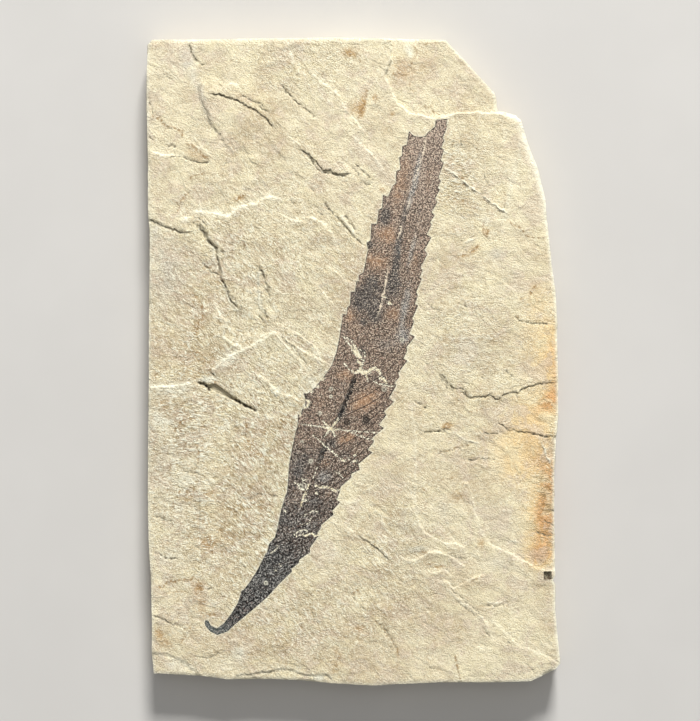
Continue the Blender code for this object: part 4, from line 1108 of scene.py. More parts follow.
class Shade:
    """One value inside a material, on which the usual operators add Math nodes."""

    def __init__(self, graph: "Graph", socket: bpy.types.NodeSocket) -> None:
        """Wrap a socket.

        Args:
            graph: The material's graph.
            socket: The output that carries the value.
        """
        self.graph = graph
        self.socket = socket

    def _maths(self, operation: str, first: object, second: object) -> "Shade":
        """The result of one Math node."""
        return self.graph.node("ShaderNodeMath", {"operation": operation}, {0: first, 1: second})

    def __add__(self, other: object) -> "Shade":
        """This value plus another."""
        return self._maths("ADD", self, other)

    __radd__ = __add__

    def __sub__(self, other: object) -> "Shade":
        """This value less another."""
        return self._maths("SUBTRACT", self, other)

    def __rsub__(self, other: object) -> "Shade":
        """Another value less this one."""
        return self._maths("SUBTRACT", other, self)

    def __mul__(self, other: object) -> "Shade":
        """This value times another."""
        return self._maths("MULTIPLY", self, other)

    __rmul__ = __mul__

    def __abs__(self) -> "Shade":
        """The size of this value."""
        return self._maths("ABSOLUTE", self, 0.0)

    def ramp(self, low: float, high: float) -> "Shade":
        """A smooth rise from 0 at one value to 1 at another.

        Args:
            low: Value that gives 0.
            high: Value that gives 1.

        Returns:
            The ramp's value.
        """
        return self.graph.node("ShaderNodeMapRange", {"interpolation_type": "SMOOTHSTEP"},
                               {"Value": self, "From Min": low, "From Max": high})


def add_node(tree: bpy.types.NodeTree, kind: str, settings: dict[str, object],
             inputs: dict[object, object]) -> bpy.types.Node:
    """Add a node to a tree.

    Args:
        tree: The tree.
        kind: The node's type.
        settings: Its own settings, set before its inputs.
        inputs: Values, shades or sockets, by input name or number.

    Returns:
        The node.
    """
    made = tree.nodes.new(kind)
    for key, value in settings.items():
        setattr(made, key, value)
    feed(tree, made, inputs)
    return made


def feed(tree: bpy.types.NodeTree, node: bpy.types.Node, inputs: dict[object, object]) -> None:
    """Set or link a node's inputs.

    Args:
        tree: The node's tree.
        node: The node.
        inputs: Values, shades or sockets, by input name or number.
    """
    for key, value in inputs.items():
        source = value.socket if isinstance(value, Shade) else value
        if isinstance(source, bpy.types.NodeSocket):
            tree.links.new(source, node.inputs[key])
        else:
            node.inputs[key].default_value = source


class Graph:
    """The node tree of one material."""

    SHEEN = 0.25                # all of the plate's surfaces are dull

    def __init__(self, name: str) -> None:
        """Start a material with a Principled shader.

        Args:
            name: The material's name.
        """
        self.material = bpy.data.materials.new(name)
        self.material.use_nodes = True
        self.tree = self.material.node_tree
        self.shader = self.tree.nodes["Principled BSDF"]
        self.place = self.node("ShaderNodeTexCoord", {}, {}, "Object")

    def node(self, kind: str, settings: dict[str, object], inputs: dict[object, object],
             output: object = 0) -> Shade:
        """Add a node.

        Args:
            kind: The node's type.
            settings: Its own settings, set before its inputs.
            inputs: Values or links, by input name or number.
            output: Name or number of the output that is wanted.

        Returns:
            That output.
        """
        return Shade(self, add_node(self.tree, kind, settings, inputs).outputs[output])

    def attribute(self, name: str) -> Shade:
        """The piece's own attribute of a name."""
        return self.node("ShaderNodeAttribute", {"attribute_name": name}, {}, "Fac")

    def turned(self, turn: float, stretch: float) -> Shade:
        """Object coordinates turned about Z and drawn out along the turned X.

        Args:
            turn: Turn in degrees.
            stretch: How many times longer the pattern gets along it.

        Returns:
            The coordinates.
        """
        spun = self.node("ShaderNodeVectorRotate", {"rotation_type": "Z_AXIS"},
                         {"Vector": self.place, "Angle": math.radians(-turn)})
        return self.node("ShaderNodeVectorMath", {"operation": "MULTIPLY"},
                         {0: spun, 1: (1.0 / stretch, 1.0, 1.0)})

    def noise(self, size: float, detail: float = 3.0, rough: float = 0.55, bend: float = 0.0,
              place: Shade | None = None) -> Shade:
        """Noise of 0 to 1 with lumps of a size in mm.

        Args:
            size: Width of the lumps.
            detail: Number of finer layers.
            rough: Strength of the finer layers.
            bend: Distortion.
            place: Coordinates, or None for plain Object coordinates.

        Returns:
            The noise's value.
        """
        return self.node("ShaderNodeTexNoise", {}, {
            "Vector": place or self.place, "Scale": 1.0 / (size * MM), "Detail": detail,
            "Roughness": rough, "Distortion": bend})

    def fraction(self, value: Shade) -> Shade:
        """What a value has beyond the whole number below it."""
        return self.node("ShaderNodeMath", {"operation": "FRACT"}, {0: value})

    def mix(self, share: Shade, first: object, second: object) -> Shade:
        """Mix two colours.

        Args:
            share: How much of the second is taken.
            first: First colour.
            second: Second colour.

        Returns:
            The mixed colour.
        """
        return self.node("ShaderNodeMix", {"data_type": "RGBA"}, {0: share, 6: first, 7: second}, 2)

    def brightened(self, colour: Shade, factor: Shade) -> Shade:
        """A colour multiplied by a value."""
        return self.node("ShaderNodeVectorMath", {"operation": "SCALE"},
                         {0: colour, "Scale": factor})

    def finish(self, colour: Shade, roughness: object, relief: Shade) -> bpy.types.Material:
        """Feed the shader.

        Args:
            colour: Base colour.
            roughness: Roughness.
            relief: Height of the fine relief in mm.

        Returns:
            The finished material.
        """
        bump = self.node("ShaderNodeBump", {}, {"Strength": 1.0, "Distance": MM, "Height": relief})
        feed(self.tree, self.shader, {
            "Base Color": colour, "Roughness": roughness, "Normal": bump,
            "Specular IOR Level": self.SHEEN})
        return self.material


@dataclass(frozen=True)
class ShaleFinish:
    """Pale split shale: gritty, finely layered, stained with iron, paler where freshly broken, with
    painted highlight on edges towards the lamp and painted shade in cracks, grooves and low grains.
    """

    cream: Colour = srgb(245, 234, 200)
    pale: Colour = srgb(255, 252, 229)
    tan: Colour = srgb(206, 186, 151)
    cool: Colour = srgb(217, 212, 198)
    rose: Colour = srgb(224, 207, 184)
    straw: Colour = srgb(249, 238, 198)
    tan_dark: Colour = srgb(154, 129, 86)
    yellow: Colour = srgb(250, 222, 168)
    iron: Colour = srgb(234, 180, 120)
    hollow_shade: Colour = srgb(150, 142, 120)
    brown: Colour = srgb(163, 127, 80)
    rust: Colour = srgb(196, 158, 106)
    crack: Colour = srgb(76, 62, 44)
    pit: Colour = srgb(92, 76, 62)
    layers: float = 26.0

    def material(self) -> bpy.types.Material:
        """Build the finish.

        Returns:
            The material.
        """
        graph = Graph("shale")
        broad = graph.noise(30.0, 3.0)
        patch = graph.noise(9.0, 4.0, 0.6)
        grit = graph.noise(0.38, 1.0, 0.7)
        grain = graph.noise(0.9, 3.0, 0.7)
        curl = graph.noise(1.5, 3.0, 0.75, 0.8)
        level = graph.attribute("level")
        leaning = graph.noise(0.72, 2.0, 0.6, 1.2, graph.turned(-42.0, 2.8))
        flat = graph.noise(0.72, 2.0, 0.6, 1.2, graph.turned(-6.0, 2.8))
        fibre = leaning * (1.0 - level) + flat * level
        depth = graph.noise(4.5, 5.0, 0.6, 0.8, graph.turned(-40.0, 1.5)) * self.layers
        part = graph.fraction(depth)
        scarp = part.ramp(0.78, 0.98)
        beds = graph.noise(1.1, 4.0, 0.7, 0.0, graph.node(
            "ShaderNodeVectorMath", {"operation": "MULTIPLY"},
            {0: graph.place, 1: (0.045, 0.045, 1.0)}))
        side = graph.attribute("side")
        upright = graph.node("ShaderNodeSeparateXYZ", {}, {0: graph.place}, "Z")
        wall = side * upright.ramp(0.1 * MM, 0.6 * MM)
        calm = graph.noise(5.5, 2.0, 0.6)
        split = graph.attribute("rough")
        rough = (split * 0.66 + 0.42) * (calm * 0.9 + 0.55) * (1.0 - side * 0.55)

        # Broad areas of one tint.
        colour = graph.mix((broad * 0.5 + patch * 0.5).ramp(0.42, 0.72) * 0.85, self.cream, self.tan)
        tan = (graph.attribute("tan") * (patch * 1.2 + 0.2)).ramp(0.0, 1.6)
        colour = graph.mix(tan, colour, self.tan)
        cool = (graph.attribute("cool") * (patch * 1.4)).ramp(0.05, 1.3)
        colour = graph.mix(cool, colour, self.cool)
        iron = graph.attribute("iron") * (patch * 0.9 + flat * 0.4 + 0.25)
        colour = graph.mix(iron.ramp(0.05, 0.7), colour, self.yellow)
        colour = graph.mix(iron.ramp(0.55, 1.3), colour, self.iron)

        # Smaller areas, and rust where the iron is strong.
        streaks = graph.noise(3.2, 4.0, 0.65, 1.2)
        colour = graph.mix(streaks.ramp(0.58, 0.72) * 0.4, colour, self.tan)
        tint = graph.noise(7.5, 3.0, 0.6, 0.7)
        colour = graph.mix(tint.ramp(0.52, 0.62) * 0.55, colour, self.rose)
        colour = graph.mix(tint.ramp(0.47, 0.37) * 0.5, colour, self.straw)
        spots = graph.attribute("brown")
        brown = (spots * (patch * 1.4 + curl * 1.6)).ramp(0.1, 1.2)
        colour = graph.mix(brown * 0.85, colour, self.rust)
        rusty = abs(flat - 0.42).ramp(0.05, 0.0) * (iron * 0.8).ramp(0.3, 1.0)
        colour = graph.mix(rusty * 0.7, colour, self.brown)

        # Thin brown lines, curls and crinkles, and what lies over them.
        line = part.ramp(0.62, 0.8) * part.ramp(0.96, 0.8) * streaks.ramp(0.42, 0.6)
        colour = graph.mix(line * 0.5 * rough, colour, self.brown)
        curls = abs(curl - 0.5).ramp(0.05, 0.0) * grain.ramp(0.38, 0.62)
        colour = graph.mix(curls * 0.6 * rough, colour, self.brown)
        crinkle = abs(graph.noise(3.4, 4.0, 0.7, 0.6) - 0.5).ramp(0.016, 0.0) * tint.ramp(0.44, 0.56)
        colour = graph.mix(crinkle * (spots * 0.5 + rough * 0.45), colour, self.brown)
        stain = (graph.attribute("stain") * (grit * 1.2 + 0.4)).ramp(0.05, 1.0)
        colour = graph.mix(stain * 0.75, colour, self.brown)
        # Places painted nearly white: pale stone and painted highlight together.
        bleached_and_highlight = (graph.attribute("bleached_and_highlight") * (grain * 1.2 + 0.4)).ramp(0.05, 0.9)
        colour = graph.mix(bleached_and_highlight * 0.85, colour, self.pale)

        # The bite of the split: painted shade on the low grains and painted highlight on the high ones.
        bite = fibre * (split * 0.35 + 0.2) + grit * (0.55 - split * 0.3) + grain * (0.25 - split * 0.05)
        sunk_shade = bite.ramp(0.47, 0.42) * rough
        raised_highlight = bite.ramp(0.52, 0.57) * rough * (1.0 - iron.ramp(0.4, 1.2) * 0.75)
        colour = graph.brightened(colour, 1.0 - sunk_shade * 0.14)
        colour = graph.mix(sunk_shade * 0.62, colour, self.tan_dark)
        colour = graph.mix(raised_highlight * 0.95, colour, self.pale)

        # The sides with their beds, and the marks of the face: pale edges with painted highlight, painted
        # shade in grooves, cracks and the slot, and the pit.
        colour = graph.mix(side * 0.18, colour, self.tan_dark)
        colour = graph.mix(beds.ramp(0.5, 0.4) * wall * 0.55, colour, self.tan_dark)
        colour = graph.mix(beds.ramp(0.53, 0.62) * wall * 0.6, colour, self.pale)
        # Pale broken edges together with painted highlight on steps, ridges and the slab's rim.
        colour = graph.mix(graph.attribute("fresh_and_highlight") * 0.85, colour, self.pale)
        # Painted shade: grey in grooves and on steps that face away from the lamp, near black in cracks
        # and in the slot's crescent.
        shade = graph.attribute("shade") * (grit * 0.8 + 0.6)
        colour = graph.mix(shade.ramp(0.05, 0.55) * 0.8, colour, self.hollow_shade)
        colour = graph.mix(shade.ramp(0.5, 1.15), colour, self.crack)
        # The pit is painted dark: its own brown-grey floor, with painted shade of the pit's recess.
        pit = graph.mix(grain.ramp(0.4, 0.6), self.pit, self.hollow_shade)
        pit = graph.brightened(pit, grit * 1.4 + 0.3)
        colour = graph.mix(graph.attribute("pit"), colour, pit)

        steps = (depth - part + scarp) * (1.5 / self.layers) + beds * wall * 0.5
        relief = (bite.ramp(0.38, 0.62) * 0.2 + grit * 0.06 - curls * 0.06) * rough + patch * 0.25 + steps
        return graph.finish(colour, 0.88 + (grain - 0.5) * 0.2, relief)


@dataclass(frozen=True)
class LeafFinish:
    """Dark carbon film over pale stone: stippled light and dark, brown above, nearly black below."""

    top: Colour = srgb(176, 156, 138)
    middle: Colour = srgb(147, 126, 108)
    foot: Colour = srgb(42, 36, 37)
    chalk: Colour = srgb(220, 219, 210)
    red: Colour = srgb(186, 147, 113)
    pink: Colour = srgb(166, 122, 104)
    blue: Colour = srgb(176, 178, 174)
    slate: Colour = srgb(72, 73, 74)
    dark: Colour = srgb(15, 12, 10)
    stem: Colour = srgb(92, 101, 96)
    light: Colour = srgb(240, 224, 198)
    stone: Colour = srgb(255, 251, 226)

    def material(self) -> bpy.types.Material:
        """Build the finish.

        Returns:
            The material.
        """
        graph = Graph("leaf_film")
        along = graph.attribute("along")
        patch = graph.noise(5.0, 4.0, 0.6)
        blotch = graph.noise(1.8, 3.0, 0.65)
        clump = graph.noise(0.8, 2.0, 0.6, 0.5)
        dots = graph.noise(0.4, 0.0, 0.5)
        threads = graph.noise(0.55, 2.0, 0.65, 0.8, graph.turned(62.0, 2.4))
        scribble = abs(graph.noise(1.3, 3.0, 0.7, 1.5) - 0.5)

        # From the foot to the tip, with patches of other tints.
        height = along + (patch - 0.5) * 0.3
        upper = height.ramp(0.12, 0.5)
        colour = graph.mix(upper, self.foot, self.middle)
        colour = graph.mix(height.ramp(0.72, 1.0), colour, self.top)
        tone = blotch * 1.8 + 0.1
        red = (graph.attribute("red") * tone).ramp(0.1, 1.3)
        pale = (graph.attribute("pale") * tone).ramp(0.1, 1.1)
        gloom = (graph.attribute("dark") * tone).ramp(0.05, 1.0)
        colour = graph.mix(clump.ramp(0.5, 0.68) * 0.35, colour, self.pink)
        colour = graph.mix(red, colour, self.red)
        colour = graph.mix(pale * 0.6, colour, self.blue)
        colour = graph.mix(gloom * 0.75, colour, self.slate)

        # Dark and pale grains, strongest towards the foot.
        rib = abs(graph.attribute("across") + (clump - 0.5) * 1.6 + (dots - 0.5) * 1.0)
        rib_dark = (rib.ramp(1.0, 0.45) * graph.attribute("rib_dark") * (clump * 1.6 + 0.3)).ramp(0.1, 0.7)
        colour = graph.mix(blotch.ramp(0.46, 0.32) * (0.5 - along * 0.3), colour, self.dark)
        colour = graph.mix(graph.attribute("margin").ramp(0.4, 0.05) * 0.6, colour, self.dark)
        grains = dots * 0.6 + threads * 0.4
        sparse = (clump.ramp(0.36, 0.6) * 0.65 + 0.35) * along.ramp(0.02, 0.16)
        glint = (grains + upper * 0.015).ramp(0.585, 0.635) * (0.85 - upper * 0.2 - gloom * 0.15) * sparse
        soot = (grains + (clump - 0.5) * 0.35).ramp(0.51, 0.44) * (1.0 - red * 0.35 - upper * 0.25)
        colour = graph.mix(soot, colour, self.dark)
        colour = graph.mix(glint, colour, graph.mix(upper, self.chalk, self.light))
        colour = graph.mix(along.ramp(0.075, 0.02) * 0.6, colour, self.stem)
        colour = graph.mix(rib_dark * (0.95 - grains.ramp(0.53, 0.6) * 0.35), colour, self.dark)
        colour = graph.brightened(colour, 1.0 - height.ramp(0.5, 0.15) * 0.16)

        # Scratches, the pale midrib, rings, and bare stone with painted shadow along the film's broken
        # edge.
        scratch = scribble.ramp(0.034, 0.0) * clump.ramp(0.38, 0.56) * (0.75 - upper * 0.5 + pale * 0.4)
        colour = graph.mix(scratch, colour, self.chalk)
        rib_pale = rib.ramp(0.42, 0.12) * graph.attribute("rib_pale") * (clump * 1.8)
        colour = graph.mix(rib_pale.ramp(0.1, 0.8) * 0.9, colour, self.light)
        colour = graph.mix(graph.attribute("ring_dark"), colour, self.dark)
        colour = graph.mix(graph.attribute("ring_light"), colour, self.stone)
        ragged = graph.attribute("bare") + (dots - 0.5) * 1.2 + (clump - 0.5) * 1.3
        bare = ragged.ramp(0.02, -0.1)
        # Painted shadow: a dark outline round each place where the film has flaked off.
        colour = graph.mix(ragged.ramp(0.5, 0.1) * 0.55, colour, self.dark)
        stone = graph.mix(grains.ramp(0.5, 0.4) * 0.3, self.stone, self.light)
        colour = graph.mix(bare, colour, stone)
        relief = grains.ramp(0.38, 0.62) * 0.08 - bare * 0.08
        return graph.finish(colour, 0.62 + bare * 0.25, relief)


@dataclass(frozen=True)
class PlainFinish:
    """A finish of one main colour with a fine mottle of a second."""

    name: str
    main: Colour
    second: Colour
    grain: float
    roughness: float
    bump: float = 0.1

    def material(self) -> bpy.types.Material:
        """Build the finish.

        Returns:
            The material.
        """
        graph = Graph(self.name)
        mottle = graph.noise(self.grain, 3.0, 0.6)
        colour = graph.mix(mottle.ramp(0.35, 0.7), self.main, self.second)
        return graph.finish(colour, self.roughness, mottle * (self.grain * self.bump))


def new_mesh(name: str, points: np.ndarray, edges: list, faces: list,
             values: dict[str, np.ndarray]) -> bpy.types.Mesh:
    """Make a mesh from points in mm.

    Args:
        name: The mesh's name.
        points: Corner points, n by 3, or n by 2 for a mesh at height 0.
        edges: Edges as pairs of point numbers.
        faces: Faces as lists of point numbers.
        values: One value for each point, by attribute name.

    Returns:
        The mesh.
    """
    if points.shape[1] == 2:
        points = np.column_stack((points, np.zeros(len(points))))
    mesh = bpy.data.meshes.new(name)
    mesh.from_pydata((points * MM).tolist(), edges, faces)
    for key, value in values.items():
        layer = mesh.attributes.new(key, "FLOAT", "POINT")
        layer.data.foreach_set("value", np.asarray(value, np.float32))
    return mesh


def new_object(name: str, data: bpy.types.ID) -> bpy.types.Object:
    """A new object in the scene.

    Args:
        name: The object's name.
        data: Its mesh, light or camera.

    Returns:
        The object.
    """
    made = bpy.data.objects.new(name, data)
    bpy.context.scene.collection.objects.link(made)
    return made


def add_piece(name: str, points: np.ndarray, faces: list, values: dict[str, np.ndarray],
              material: bpy.types.Material) -> bpy.types.Object:
    """Make a mesh piece from points in mm.

    Args:
        name: The piece's name.
        points: Corner points, n by 3.
        faces: Faces as lists of point numbers.
        values: One value for each point, by attribute name.
        material: The piece's finish.

    Returns:
        The new object, linked to the scene.
    """
    mesh = new_mesh(name, points, [], faces, values)
    mesh.materials.append(material)
    mesh.set_sharp_from_angle(angle=SHARP_ANGLE)
    return new_object(name, mesh)


@dataclass
class Slab:
    """The shale slab: split face, broken bedded sides and even back."""

    relief: Relief
    spacing: float = 0.96           # of the face's points, and close to a break
    fine_spacing: float = 0.3
    band: float = 0.28              # half the width of the close lattice beside a break
    leaf_band: float = 0.75
    rim_gap: float = 0.3            # room that the lattice leaves to the outlines
    leaf_gap: float = 0.25
    rim_step: float = 0.72
    rim_inset: float = 0.22         # how far the face's edge stands in, and more where chipped
    rim_chips: float = 0.25
    leaf_step: float = 0.45
    back_spacing: float = 2.4
    back_gap: float = 1.0
    back_bumps: float = 0.22
    recess: float = 0.35            # depth of the leaf's bed, and width of its wall
    recess_wall: float = 0.09
    beds: int = 7
    bed_shift: float = 63.0
    rings: int = 15
    set_back: float = 0.75
    slot_shade: float = 0.42

    def _face_points(self, rim: np.ndarray, leaf_loop: np.ndarray) -> np.ndarray:
        """Points of the face: an open lattice, and a close one along every break.

        Args:
            rim: The face's outer edge.
            leaf_loop: The leaf's outline.

        Returns:
            The points, n by 2.
        """
        low, high = rim.min(axis=0), rim.max(axis=0)
        coarse = lattice(low, high, self.spacing)
        fine = lattice(low, high, self.fine_spacing)
        near_coarse = np.zeros(len(coarse), bool)
        near_fine = np.zeros(len(fine), bool)
        for points, marked in ((coarse, near_coarse), (fine, near_fine)):
            shaken = self.relief.shaken(points)
            for item, path in self.relief.paths:
                reach = 0.8 * item.width + self.band
                close = path.near(shaken, reach)
                distance, along, _ = path.measure(shaken[close])
                hit = (np.abs(distance) < reach) & (path.hold(along, Relief.END) > 0.02)
                marked[close[hit]] = True
            slot = loop_distance(shaken, self.relief.slot)
            pit = np.abs(points - PIT_CENTRE).max(axis=1) - PIT_REACH
            marked |= (np.abs(slot) < self.band) | (np.abs(pit) < self.band)
            marked |= np.abs(loop_distance(points, leaf_loop)) < self.leaf_band
        chosen = np.vstack((coarse[~near_coarse], fine[near_fine]))
        clear = loop_distance(chosen, rim) < -self.rim_gap
        clear &= np.abs(loop_distance(chosen, leaf_loop)) > self.leaf_gap
        return chosen[clear]

    def _side_offset(self, reach: np.ndarray, share: float) -> np.ndarray:
        """How far the broken side stands back at one height.

        Args:
            reach: Distance along the slab's outline of each rim point.
            share: Height as a share, 0 at the face and 1 at the back.

        Returns:
            The set-back of each rim point.
        """
        noise = self.relief.noise
        walk = np.stack((reach, np.full(len(reach), 5.0)), axis=1)
        bed = share * self.beds + 0.45 * noise.plain(walk, 30.0)
        floor = np.floor(bed)
        part = bed - floor
        edge = eased((part - 0.75) / 0.25)
        low, high = (
            noise.layered(walk + np.stack((np.zeros(len(bed)), number * self.bed_shift), axis=1), 9.0)
            for number in (floor, floor + 1.0))
        mixed = np.abs(low) * (1.0 - edge) + np.abs(high) * edge
        fine = 0.12 * np.abs(noise.layered(walk + share * 40.0, 2.2))
        return self.set_back * np.clip(mixed * 1.8, 0.0, 1.0) + fine

    def _rings(self, loop: np.ndarray, normal: np.ndarray, top: np.ndarray) -> list[np.ndarray]:
        """Points of the broken side, ring under ring.

        Args:
            loop: The slab's outline.
            normal: Outward direction at each of its points.
            top: Height of the face's edge at each of them.

        Returns:
            The rings, from under the face down to the back, each n by 3.
        """
        steps = np.linalg.norm(np.roll(loop, -1, axis=0) - loop, axis=1)
        reach = np.concatenate(((0.0,), np.cumsum(steps)[:-1]))
        rings = []
        for share in np.arange(1, self.rings) / (self.rings - 1):
            spot = loop - normal * self._side_offset(reach, share)[:, None]
            rings.append(np.column_stack((spot, top * (1.0 - share))))
        return rings

    def build(self) -> bpy.types.Object:
        """Make the slab as one closed mesh.

        Returns:
            The slab's object.
        """
        relief = self.relief
        loop = resampled(relief.slab_outline, self.rim_step)
        normal = outward(loop, 3)
        chips = np.abs(relief.noise.layered(loop, 2.4))
        rim = loop - normal * (self.rim_inset + self.rim_chips * chips)[:, None]
        leaf_loop = resampled(relief.leaf_outline, self.leaf_step)
        leaf_wall = leaf_loop + outward(leaf_loop, 0) * self.recess_wall
        face = Sheet.fill([rim, leaf_loop, leaf_wall], self._face_points(rim, leaf_loop))
        surface = relief.surface(face.points)
        height = FACE_LEVEL + surface["height"]
        height -= self.recess * eased(1.0 - surface["leaf_gap"] / self.recess_wall)

        rings = self._rings(loop, normal, height[face.rim])
        last = rings.pop()
        inner = lattice(loop.min(axis=0), loop.max(axis=0), self.back_spacing)
        back = Sheet.fill([last[:, :2]], inner[loop_distance(inner, last[:, :2]) < -self.back_gap])
        back_height = self.back_bumps * np.abs(relief.noise.layered(back.points, 14.0))
        back_height[back.rim] = 0.0

        top_count, count = len(face.points), len(loop)
        back_first = top_count + len(rings) * count
        sides = [np.arange(first, first + count) for first in range(top_count, back_first, count)]
        chain = [face.rim, *sides, back_first + back.rim]
        faces = face.triangles.tolist() + (back.triangles[:, ::-1] + back_first).tolist()
        for upper, lower in zip(chain, chain[1:]):
            right_upper, right_lower = np.roll(upper, -1), np.roll(lower, -1)
            faces += np.column_stack((upper, lower, right_lower, right_upper)).tolist()
        points = np.vstack((np.column_stack((face.points, height)), *rings,
                            np.column_stack((back.points, back_height))))
        return add_piece("slab_stone", points, faces, self._values(points, surface, top_count),
                         ShaleFinish().material())

    def _values(self, points: np.ndarray, surface: dict[str, np.ndarray],
                top_count: int) -> dict[str, np.ndarray]:
        """Attributes of the slab's points.

        Args:
            points: All points, n by 3.
            surface: The relief's values on the face.
            top_count: How many of the points are the face's.

        Returns:
            Values by attribute name.
        """
        flat = points[:, :2]
        marks = {
            # The slot's floor loses its pale edges and gets painted shade.
            "fresh_and_highlight": surface["fresh_and_highlight"] * (1.0 - surface["slot"]),
            "shade": np.maximum(surface["shade"], surface["slot"] * self.slot_shade),
            "pit": surface["pit"],
            "stain": surface["stain"],
        }
        rest = (0, len(points) - top_count)
        values = {key: np.pad(value, rest) for key, value in marks.items()}
        values |= {
            "side": np.pad(np.zeros(top_count), rest, constant_values=1.0),
            "level": eased((flat[:, 0] - 12.0) / 26.0) + eased((-38.0 - flat[:, 0]) / 14.0)
            * eased((12.0 - flat[:, 1]) / 26.0),
            "rough": np.clip(Relief.patches(flat, ROUGH), 0.0, 1.0),
        }
        for name, table in (("iron", IRON), ("brown", BROWN), ("tan", TAN), ("cool", COOL),
                            ("bleached_and_highlight", BLEACHED_AND_HIGHLIGHT)):
            values[name] = np.clip(Relief.patches(flat, table), 0.0, 1.5)
        return values


@dataclass
class Leaf:
    """The leaf's carbon film with its midrib and the places where it has flaked off."""

    relief: Relief
    spacing: float = 0.42           # of the film's points, and close to a break or the midrib
    fine_spacing: float = 0.2
    flake_band: float = 0.35        # how far the close lattice reaches from a break
    rib_band: float = 0.5           # and from the midrib
    edge_step: float = 0.3
    edge_gap: float = 0.12
    lift: float = 0.05
    thickness: float = 0.36
    back_spacing: float = 2.5
    back_gap: float = 0.8

    def __post_init__(self) -> None:
        """Lay the midrib and the breaks of the film."""
        self.midrib = Path(numbers(LEAF_MIDRIB))
        self.flakes = [Path(numbers(row), rounded=False) for row in rows_of(FILM_BREAKS)]

    def bare(self, points: np.ndarray) -> np.ndarray:
        """Distance outside the nearest place where the film is gone, negative inside it.

        Args:
            points: Places, n by 2.

        Returns:
            The distances.
        """
        shaken = points + 0.35 * (self.relief.shaken(points) - points)
        best = np.full(len(points), 5.0)
        for path in self.flakes:
            near = path.near(shaken, 4.0)
            distance, _, place = path.measure(shaken[near])
            width = np.interp(place, np.arange(len(path.points)), path.extra[:, 0])
            best[near] = np.minimum(best[near], np.abs(distance) - width)
        return best

    def surface(self, points: np.ndarray) -> tuple[np.ndarray, dict[str, np.ndarray]]:
        """Height and attributes of the film's upper side.

        Args:
            points: Places, n by 2.

        Returns:
            Height in mm, and values by attribute name.
        """
        stone = self.relief.surface(points)
        distance, along, _ = self.midrib.measure(points)
        share = np.clip(along / self.midrib.length, 0.0, 1.0)
        bare = self.bare(points)
        wrinkle = 0.035 * self.relief.noise.layered(points + 700.0, 1.4, layers=2)
        tones = {name: np.clip(Relief.patches(points, table), 0.0, 1.2) for name, table in (
            ("red", LEAF_RED), ("pale", LEAF_PALE), ("dark", LEAF_DARK),
            ("rib_dark", RIB_DARK), ("rib_pale", RIB_PALE))}
        rib = np.exp(-((distance / 0.32) ** 2))
        height = FACE_LEVEL + stone["height"] + self.lift + wrinkle
        height += rib * (0.07 * tones["rib_pale"] - 0.12 * tones["rib_dark"])
        height -= 0.09 * eased(0.5 - bare / 0.15)
        ring_dark = np.zeros(len(points))
        ring_light = np.zeros(len(points))
        for x, y, radius, pale in numbers(LEAF_RINGS):
            off = np.hypot(points[:, 0] - x, points[:, 1] - y) / radius
            circle = np.exp(-(((off - 0.75) / 0.28) ** 2))
            dot = np.exp(-((off / 0.4) ** 2))
            ring_light = np.maximum(ring_light, circle * pale)
            ring_dark = np.maximum(ring_dark, np.maximum(dot, circle * (1.0 - pale)))
        return height, {
            "along": share,
            "across": -distance,
            "margin": -stone["leaf_gap"],
            "bare": np.clip(bare, -1.5, 3.0),
            "ring_dark": ring_dark,
            "ring_light": ring_light,
            **tones,
        }

    def build(self) -> bpy.types.Object:
        """Make the film as one thin closed mesh.

        Returns:
            The film's object.
        """
        loop = resampled(self.relief.leaf_outline, self.edge_step)
        low, high = loop.min(axis=0), loop.max(axis=0)
        coarse, fine = lattice(low, high, self.spacing), lattice(low, high, self.fine_spacing)
        kept = []
        for points, wanted in ((coarse, False), (fine, True)):
            points = points[loop_distance(points, loop) < -self.edge_gap]
            distance, _, _ = self.midrib.measure(points)
            close = np.abs(self.bare(points)) < self.flake_band
            close |= np.abs(distance) < self.rib_band
            kept.append(points[close == wanted])
        film = Sheet.fill([loop], np.vstack(kept))
        height, values = self.surface(film.points)

        inner = lattice(low, high, self.back_spacing)
        back = Sheet.fill([loop], inner[loop_distance(inner, loop) < -self.back_gap])
        under = FACE_LEVEL + self.relief.surface(back.points)["height"] + self.lift - self.thickness
        offset = len(film.points)
        faces = film.triangles.tolist() + (back.triangles[:, ::-1] + offset).tolist()
        upper, lower = film.rim, back.rim + offset
        faces += np.column_stack((upper, lower, np.roll(lower, -1), np.roll(upper, -1))).tolist()
        points = np.vstack((np.column_stack((film.points, height)),
                            np.column_stack((back.points, under))))
        rest = len(back.points)
        values = {key: np.concatenate((value, np.full(rest, 1.0 if key == "bare" else 0.0)))
                  for key, value in values.items()}
        return add_piece("leaf_film", points, faces, values, LeafFinish().material())


